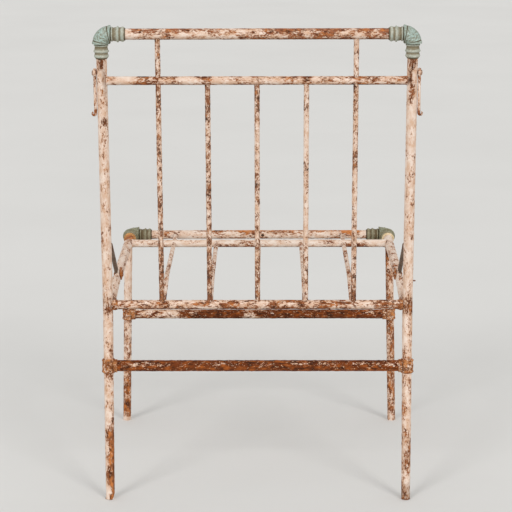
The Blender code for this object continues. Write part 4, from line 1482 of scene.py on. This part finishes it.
    def rivet(self, side: Side, rust: Material) -> None:
        """The rivet, with a hammered head on each side of the three flats.

        Args:
            side: its side.
            rust: the material.
        """
        gap = self.layout.clearance
        inner = self.tube_tongue_x() - self.tongue[0] / 2 - gap
        grip = self.brace_eye_x() + self.brace_eye[0] / 2 + gap - inner
        head = dome(self.rivet_head_height, self.rivet_head_diameter / 2)
        shank = np.array([[0.0, self.rivet_diameter / 2], [grip, self.rivet_diameter / 2]])
        profile = np.concatenate([head[::-1] * (-1.0, 1.0), shank, head + (grip, 0.0)])
        surface = turned_surface(self.layout.knee(side * inner), side * RIGHT, profile, BAR_SIDES)
        wear = (Wear(0, 0.0, WHOLE, orange=0.12),)
        place_piece(side.named("knee_rivet"), surface, Slot.RUSTED, rust, wear, 0.0001)


@dataclass
class CornerCastings:
    """The four bronze elbows and the beaded sleeve at each of their mouths."""

    layout: Layout
    elbow_diameter: float = 0.036
    rings: int = 120
    sides: int = 144
    relief: float = 0.0009
    rim_at: float = 0.085
    rim_edge: float = 0.008
    groove_at: float = 0.125
    groove_width: float = 0.018
    panel_at: float = 0.17
    panel_edge: float = 0.02
    flank_at: float = 0.5
    flank_edge: float = 0.07
    groove_depth: float = 0.6
    panel_depth: float = 0.5
    scroll_height: float = 0.85
    waves_round: Triple = (16, 1.5, 5)
    waves_across: Triple = (6, 1.2, 8)
    # Darkening in the groove, in the scroll hollows and off the panel (patina), and on the underside (painted
    # shade)
    dirt: tuple[float, ...] = (0.8, 0.4, 0.16, 0.3)
    sleeve_length: float = 0.031
    bead_marks: tuple[float, ...] = (0.0, 0.10, 0.20, 0.36, 0.50, 0.62, 0.84, 1.0)
    bead_heights: tuple[float, ...] = (0.0018, 0.0042, 0.0022, 0.0030, 0.0054, 0.0025, 0.0044, 0.0012)
    bead_points: int = 72
    clean_height: float = 0.0036
    bead_dirt: float = 1.15

    def build(self) -> None:
        """Builds all pieces. Rust has run over the left side tube's sleeve, and paint over the right
        one's."""
        layout = self.layout
        back, front, beads, front_beads, painted = (
            bronze_material(name, finish)
            for name, finish in (
                ("back_elbow_bronze", BACK_ELBOW),
                ("front_elbow_bronze", FRONT_ELBOW),
                ("sleeve_bronze", BACK_SLEEVE),
                ("front_sleeve_bronze", FRONT_SLEEVE),
                ("painted_sleeve_bronze", PAINTED_SLEEVE),
            )
        )
        bend_point, top = (layout.post(Side.RIGHT, z) for z in (layout.rear_rail_height, layout.back_height))
        down = unit(bend_point - top)
        front_y = layout.forward(layout.front_rail_forward)
        sleeve_end = front_y - layout.elbow_bend_radius - self.sleeve_length
        stain = (Wear(1, sleeve_end, 0.016, orange=0.36, dirt_and_shade=0.2),)
        for side in Side:
            inward = -side * RIGHT
            top = layout.post(side, layout.back_height)
            corner = np.array([side * layout.side_spacing / 2, front_y, layout.seat_height])
            side_beads = front_beads if side is Side.LEFT else painted
            self.elbow(side.named("back_elbow"), top, down, inward, back)
            self.elbow(side.named("front_elbow"), corner, -FRONT, inward, front)
            self.sleeve(side.named("back_post_sleeve"), top, down, layout.post_diameter, beads)
            self.sleeve(side.named("top_rail_sleeve"), top, inward, layout.top_rail_diameter, beads)
            tube = layout.side_diameter
            self.sleeve(side.named("side_tube_sleeve"), corner, -FRONT, tube, side_beads, stain)
            self.sleeve(side.named("front_rail_sleeve"), corner, inward, tube, front_beads)

    def elbow(
        self, name: str, corner: np.ndarray, along: np.ndarray, aside: np.ndarray, bronze: Material
    ) -> None:
        """A circle carried round a quarter turn, with relief.

        The relief is a raised rim at each mouth with a groove behind it, a framed panel on each flat
        side, and scrolls in the panel: the product of a wave round the bend and a wave across it. The
        darkening is patina in the groove, the hollows and off the panel, and painted shade on the underside.

        Args:
            name: the node that it stands in for.
            corner: where the tubes' axes meet.
            along: direction from the corner down one tube.
            aside: direction from the corner down the other tube.
            bronze: its material.
        """
        radius = self.layout.elbow_bend_radius
        turn = np.linspace(0.0, math.pi / 2, self.rings)[:, None]
        around = circle(self.sides)[None, :]
        spoke = -(aside * np.cos(turn)[..., None] + along * np.sin(turn)[..., None])
        outward = spoke * np.cos(around)[..., None] + np.cross(along, aside) * np.sin(around)[..., None]
        edge = np.minimum(turn, math.pi / 2 - turn) / (math.pi / 2)
        rim = 1 / (1 + np.exp((edge - self.rim_at) / self.rim_edge))
        groove = np.exp(-(((edge - self.groove_at) / self.groove_width) ** 2))
        sideways = np.abs(np.sin(around))
        flank = np.clip((sideways - self.flank_at) / self.flank_edge, 0.0, 1.0)
        inside = flank * np.clip((edge - self.panel_at) / self.panel_edge, 0.0, 1.0)
        upright = np.arccos(np.clip(sideways, 0.0, 1.0)) * np.sign(np.cos(around))
        count, sway, sway_count = self.waves_round
        wave_round = np.sin(turn * count + sway * np.sin(upright * sway_count))
        count, sway, sway_count = self.waves_across
        scroll = wave_round * np.cos(upright * count + sway * np.sin(turn * sway_count))
        panel = inside * (self.scroll_height * scroll - self.panel_depth)
        height = self.relief * (rim - self.groove_depth * groove + panel)
        centre = corner + (along + aside) * radius
        points = centre + spoke * radius + outward * (self.elbow_diameter / 2 + height)[..., None]
        hollows = inside * np.clip(-scroll, 0.0, 1.0)
        # Painted shade: the elbow darkens towards its underside
        below = np.clip(-outward[..., 2], 0.0, 1.0)
        parts = zip(self.dirt, (groove, hollows, 1 - inside, below))
        dirt_and_shade = sum(share * part for share, part in parts)
        place_piece(name, Surface(points, outward, dirt_and_shade=dirt_and_shade), Slot.BRONZE, bronze, (), 0.00015)

    def sleeve(
        self,
        name: str,
        corner: np.ndarray,
        direction: np.ndarray,
        tube: float,
        bronze: Material,
        wear: tuple[Wear, ...] = (),
    ) -> None:
        """A turned sleeve with three beads, dirty between them.

        Args:
            name: the node that it stands in for.
            corner: where the tubes' axes meet.
            direction: direction from the corner down the tube.
            tube: the tube's diameter.
            bronze: its material.
            wear: its worn stretches.
        """
        curve = smooth_through(self.bead_marks, self.bead_heights, self.bead_points)
        profile = lipped(curve * (self.sleeve_length, 1.0) + (0.0, tube / 2), tube / 2)
        base = corner + direction * (self.layout.elbow_bend_radius + self.layout.clearance)
        surface = turned_surface(base, direction, profile)
        dirt = np.clip(self.bead_dirt - (profile[:, 1:] - tube / 2) / self.clean_height, 0.0, 1.0)
        surface.dirt_and_shade = np.broadcast_to(dirt, surface.points.shape[:2])
        place_piece(name, surface, Slot.BRONZE, bronze, wear, 0.0002)


@dataclass
class TeeCollars:
    """The cast collars that hold the stretchers, and the knuckles at the ends of the rear rail."""

    layout: Layout
    rear_height: float = 0.031
    front_height: float = 0.026
    thickness: float = 0.0038
    barrel_marks: tuple[float, ...] = (0.0, 0.09, 0.24, 0.5, 0.76, 0.91, 1.0)
    barrel_shares: tuple[float, ...] = (0.35, 1.0, 0.62, 0.8, 0.62, 1.0, 0.35)
    barrel_points: int = 40
    reach: float = 0.019
    socket_thickness: float = 0.0026
    socket_marks: tuple[float, ...] = (0.0, 0.55, 0.85, 1.0)
    socket_shares: tuple[float, ...] = (1.0, 0.8, 1.0, 0.3)
    knuckle_length: float = 0.012
    knuckle_thickness: float = 0.0022
    knuckle_marks: Triple = (0.0, 0.45, 1.0)
    knuckle_shares: Triple = (0.5, 1.0, 0.2)
    end_points: int = 24

    def build(self) -> None:
        """Builds all pieces."""
        layout = self.layout
        cast = iron_material("collar_rust", COLLAR_RUST)
        rear, front = layout.rear_stretcher_height, layout.front_stretcher_height
        for side in Side:
            low, high = (layout.post(side, rear + share * self.rear_height) for share in (-0.5, 0.5))
            centre = layout.post(side, rear)
            diameters = (layout.post_diameter, layout.rear_stretcher_diameter)
            self.collar(side.named("rear_collar"), side, (low, centre, high), diameters, cast)
            low, high = (layout.leg(side, front + share * self.front_height) for share in (-0.5, 0.5))
            centre = layout.leg(side, front)
            diameters = (layout.leg_diameter, layout.front_stretcher_diameter)
            self.collar(side.named("front_collar"), side, (low, centre, high), diameters, cast)
            self.knuckle(side, cast)

    def collar(
        self,
        name: str,
        side: Side,
        axis: tuple[np.ndarray, np.ndarray, np.ndarray],
        diameters: tuple[float, float],
        cast: Material,
    ) -> None:
        """A barrel round the upright and a socket round the stretcher's end.

        Args:
            name: the node that it stands in for.
            side: its side.
            axis: the barrel's lower end, middle and upper end.
            diameters: diameters of the upright and the stretcher.
            cast: the material.
        """
        low, centre, high = axis
        upright, stretcher = diameters[0] / 2, diameters[1] / 2
        wear = (Wear(2, centre[2], WHOLE, orange=0.06),)
        curve = smooth_through(self.barrel_marks, self.barrel_shares, self.barrel_points)
        barrel = curve * (np.linalg.norm(high - low), self.thickness) + (0.0, upright)
        surface = turned_surface(low, high - low, lipped(barrel, upright))
        place_piece(name, surface, Slot.CAST, cast, wear, 0.0004)
        curve = smooth_through(self.socket_marks, self.socket_shares, self.end_points)
        socket = curve * (self.reach - upright, self.socket_thickness) + (upright, stretcher)
        surface = turned_surface(centre, -side * RIGHT, lipped(socket, stretcher, False))
        place_piece(name + "_socket", surface, Slot.CAST, cast, wear, 0.0004, stands_in=False)

    def knuckle(self, side: Side, cast: Material) -> None:
        """A lump of cast iron round the end of the rear rail, against the post.

        Args:
            side: its side.
            cast: the material.
        """
        layout = self.layout
        radius = layout.rear_rail_diameter / 2
        curve = smooth_through(self.knuckle_marks, self.knuckle_shares, self.end_points)
        start = (layout.post_diameter - OVERLAP) / 2
        lump = curve * (self.knuckle_length, self.knuckle_thickness) + (start, radius)
        centre = layout.post(side, layout.rear_rail_height)
        surface = turned_surface(centre, -side * RIGHT, lipped(lump, radius, False))
        place_piece(side.named("rail_knuckle"), surface, Slot.CAST, cast, (), 0.0006)


@dataclass
class HangingHooks:
    """The hook and its stud on each post, and the pin in the right post."""

    layout: Layout
    below_top: float = 0.081
    length: float = 0.0855
    rod_diameter: float = 0.0065
    post_gap: float = 0.0008
    stud_diameter: float = 0.0064
    running_gap: float = 0.00035
    stud_head_diameter: float = 0.0115
    stud_head_height: float = 0.0026
    eye_turn: tuple[float, float, int] = (220.0, -50.0, 48)
    eye_neck: float = 0.0055
    neck_bow: Triple = (0.0, 0.0008, 0.0006)
    curl_turn: tuple[float, float, int] = (180.0, 420.0, 40)
    curl_radius: float = 0.0034
    tail_length: float = 0.0145
    tip_share: float = 0.5
    pin_height: float = 0.482
    pin_diameter: float = 0.003
    pin_reach: float = 0.0055
    ring_spacing: float = 0.0011

    def pivot(self, side: Side) -> np.ndarray:
        """Middle of a hook's eye.

        Args:
            side: the hook's side.

        Returns:
            The point.
        """
        half = (self.layout.post_spacing + self.layout.post_diameter + self.rod_diameter) / 2
        height = self.layout.back_height - self.below_top
        return np.array([side * (half + self.post_gap), self.layout.back_y(height), height])

    def hook_surface(self, side: Side) -> Surface:
        """A rod bent to an eye, a straight shank and a curl that turns outwards.

        The eye is three quarters of a circle across X, and the curl two thirds of one across Y. The
        rings' plane turns from one to the other down the shank, and the tail thins to its tip.

        Args:
            side: the hook's side.

        Returns:
            The surface.
        """
        eye = (self.stud_diameter + self.rod_diameter) / 2 + self.running_gap
        turns = np.radians(np.linspace(*self.eye_turn))
        ring = np.stack([0 * turns, np.cos(turns) * eye, np.sin(turns) * eye], axis=1)
        neck = np.array([0.0, 0.0, -eye - self.eye_neck])
        middle = (ring[-1] + neck) / 2 + np.array(self.neck_bow)
        turns = np.radians(np.linspace(*self.curl_turn))
        outward = side * self.curl_radius * (1 + np.cos(turns))
        curl = np.stack([outward, 0 * turns, self.curl_radius * np.sin(turns) - self.length], axis=1)
        path = resampled(np.concatenate([ring, middle[None], neck[None], curl]), self.ring_spacing)
        down = np.clip((neck[2] - path[:, 2]) / (self.length / 2), 0.0, 1.0)[:, None]
        along = distances(path)
        tail = np.clip(1 - (along[-1] - along) / self.tail_length, 0.0, 1.0)
        radii = self.rod_diameter / 2 * (1 - (1 - self.tip_share) * tail)
        return carried_rings(path + self.pivot(side), radii, BAR_SIDES, RIGHT * (1 - down) + FRONT * down)

    def build(self) -> None:
        """Builds all pieces."""
        layout = self.layout
        paint = iron_material("hook_paint", HOOK_PAINT)
        rust = iron_material("stud_rust", replace(STRETCHER_RUST, cover=0.5, patch=0.008, stretch=1.0))
        face = (layout.post_spacing + layout.post_diameter) / 2 - OVERLAP
        for side in Side:
            pivot = self.pivot(side)
            hook = side.named("hook")
            wear = (
                Wear(2, pivot[2], 0.02, rust=0.5, orange=0.04),
                Wear(2, pivot[2] - self.length, 0.012, rust=0.8),
            )
            place_piece(hook, self.hook_surface(side), Slot.PAINTED, paint, wear, 0.00012, hook)
            shank = abs(pivot[0]) + self.rod_diameter / 2 + layout.clearance - face
            plain = np.array([[0.0, self.stud_diameter / 2], [shank, self.stud_diameter / 2]])
            head = dome(self.stud_head_height, self.stud_head_diameter / 2) + (shank, 0.0)
            base = np.array([side * face, pivot[1], pivot[2]])
            surface = turned_surface(base, side * RIGHT, np.concatenate([plain, head]), BAR_SIDES)
            place_piece(side.named("hook_stud"), surface, Slot.RUSTED, rust, (), 0.0001)
        reach, radius = self.pin_reach + OVERLAP, self.pin_diameter / 2
        profile = np.array([[0.0, radius], [reach - radius / 2, radius], [reach, radius / 2]])
        base = np.array([face, layout.back_y(self.pin_height), self.pin_height])
        surface = turned_surface(base, RIGHT, profile, BAR_SIDES)
        place_piece("right_post_pin", surface, Slot.RUSTED, rust, (), 0.0001)


@dataclass
class Studio:
    """A plain pale floor, two soft suns behind the camera, a pale room and the camera."""

    floor_size: float = 60.0
    floor_colours: tuple[Colour, Colour] = (srgb(212, 211, 208), srgb(216, 215, 212))
    floor_roughness: float = 0.9
    sun_strength: float = 1.0
    sun_spread: float = 18.0
    sun_forward: float = 1.5
    sun_slope: float = 1.15
    room_strength: float = 0.69
    lens: float = 122.3
    sensor: float = 36.0
    camera_place: Triple = (0.0245, -3.875, 1.441)
    pitch_down: float = 14.0
    yaw: float = 0.40
    roll: float = 0.15

    def build(self) -> None:
        """Builds the floor, the lights and the camera."""
        self.floor()
        for side in Side:
            self.sun(side)
        self.room()
        self.camera()

    def floor(self) -> None:
        """A floor that fills the view, in pale grey with faint clouds."""
        half = self.floor_size / 2
        corners = [(-half, -half, 0.0), (half, -half, 0.0), (half, half, 0.0), (-half, half, 0.0)]
        mesh = bpy.data.meshes.new("pale_floor")
        mesh.from_pydata(corners, [], [(0, 1, 2, 3)])
        bench = NodeBench("pale_floor")
        clouds = bench.step(bench.noise(FLOOR_CLOUDS), 0.5, 0.5)
        bench.feed(bench.shader.inputs["Base Color"], bench.mix(clouds, *self.floor_colours))
        bench.shader.inputs["Roughness"].default_value = self.floor_roughness
        mesh.materials.append(bench.material)
        plane = bpy.data.objects.new("pale_floor", mesh)
        bpy.context.scene.collection.objects.link(plane)
        LOG.info("pale_floor: %.0f m square", self.floor_size)

    def sun(self, side: Side) -> None:
        """A soft sun from behind the camera.

        Args:
            side: the side that it shines from.
        """
        name = side.named("sun")
        data = bpy.data.lights.new(name, "SUN")
        data.energy = self.sun_strength
        data.angle = math.radians(self.sun_spread)
        lamp = bpy.data.objects.new(name, data)
        beam = Vector((-side, self.sun_forward, -self.sun_slope))
        lamp.rotation_euler = beam.to_track_quat("-Z", "Y").to_euler()
        bpy.context.scene.collection.objects.link(lamp)
        LOG.info("%s: %.2f W/m2", name, self.sun_strength)

    def room(self) -> None:
        """Even light from all sides, and plain colour settings."""
        world = bpy.data.worlds.new("pale_room")
        world.use_nodes = True
        background = world.node_tree.nodes["Background"]
        background.inputs["Color"].default_value = (1.0, 1.0, 1.0, 1.0)
        background.inputs["Strength"].default_value = self.room_strength
        bpy.context.scene.world = world
        bpy.context.scene.view_settings.view_transform = "Standard"

    def camera(self) -> None:
        """The photograph's camera."""
        data = bpy.data.cameras.new("photo_camera")
        data.lens = self.lens
        data.sensor_width = self.sensor
        camera = bpy.data.objects.new("photo_camera", data)
        camera.location = self.camera_place
        camera.rotation_euler = [math.radians(turn) for turn in (90.0 - self.pitch_down, self.roll, self.yaw)]
        bpy.context.scene.collection.objects.link(camera)
        bpy.context.scene.camera = camera


def main() -> None:
    """Builds the chair's sub-assemblies in order, then the studio."""
    layout = Layout()
    for assembly in (BackFrame, SeatFrame, SeatSides, CornerCastings, TeeCollars, HangingHooks):
        assembly(layout).build()
    Studio().build()


if __name__ == "__main__":
    main()
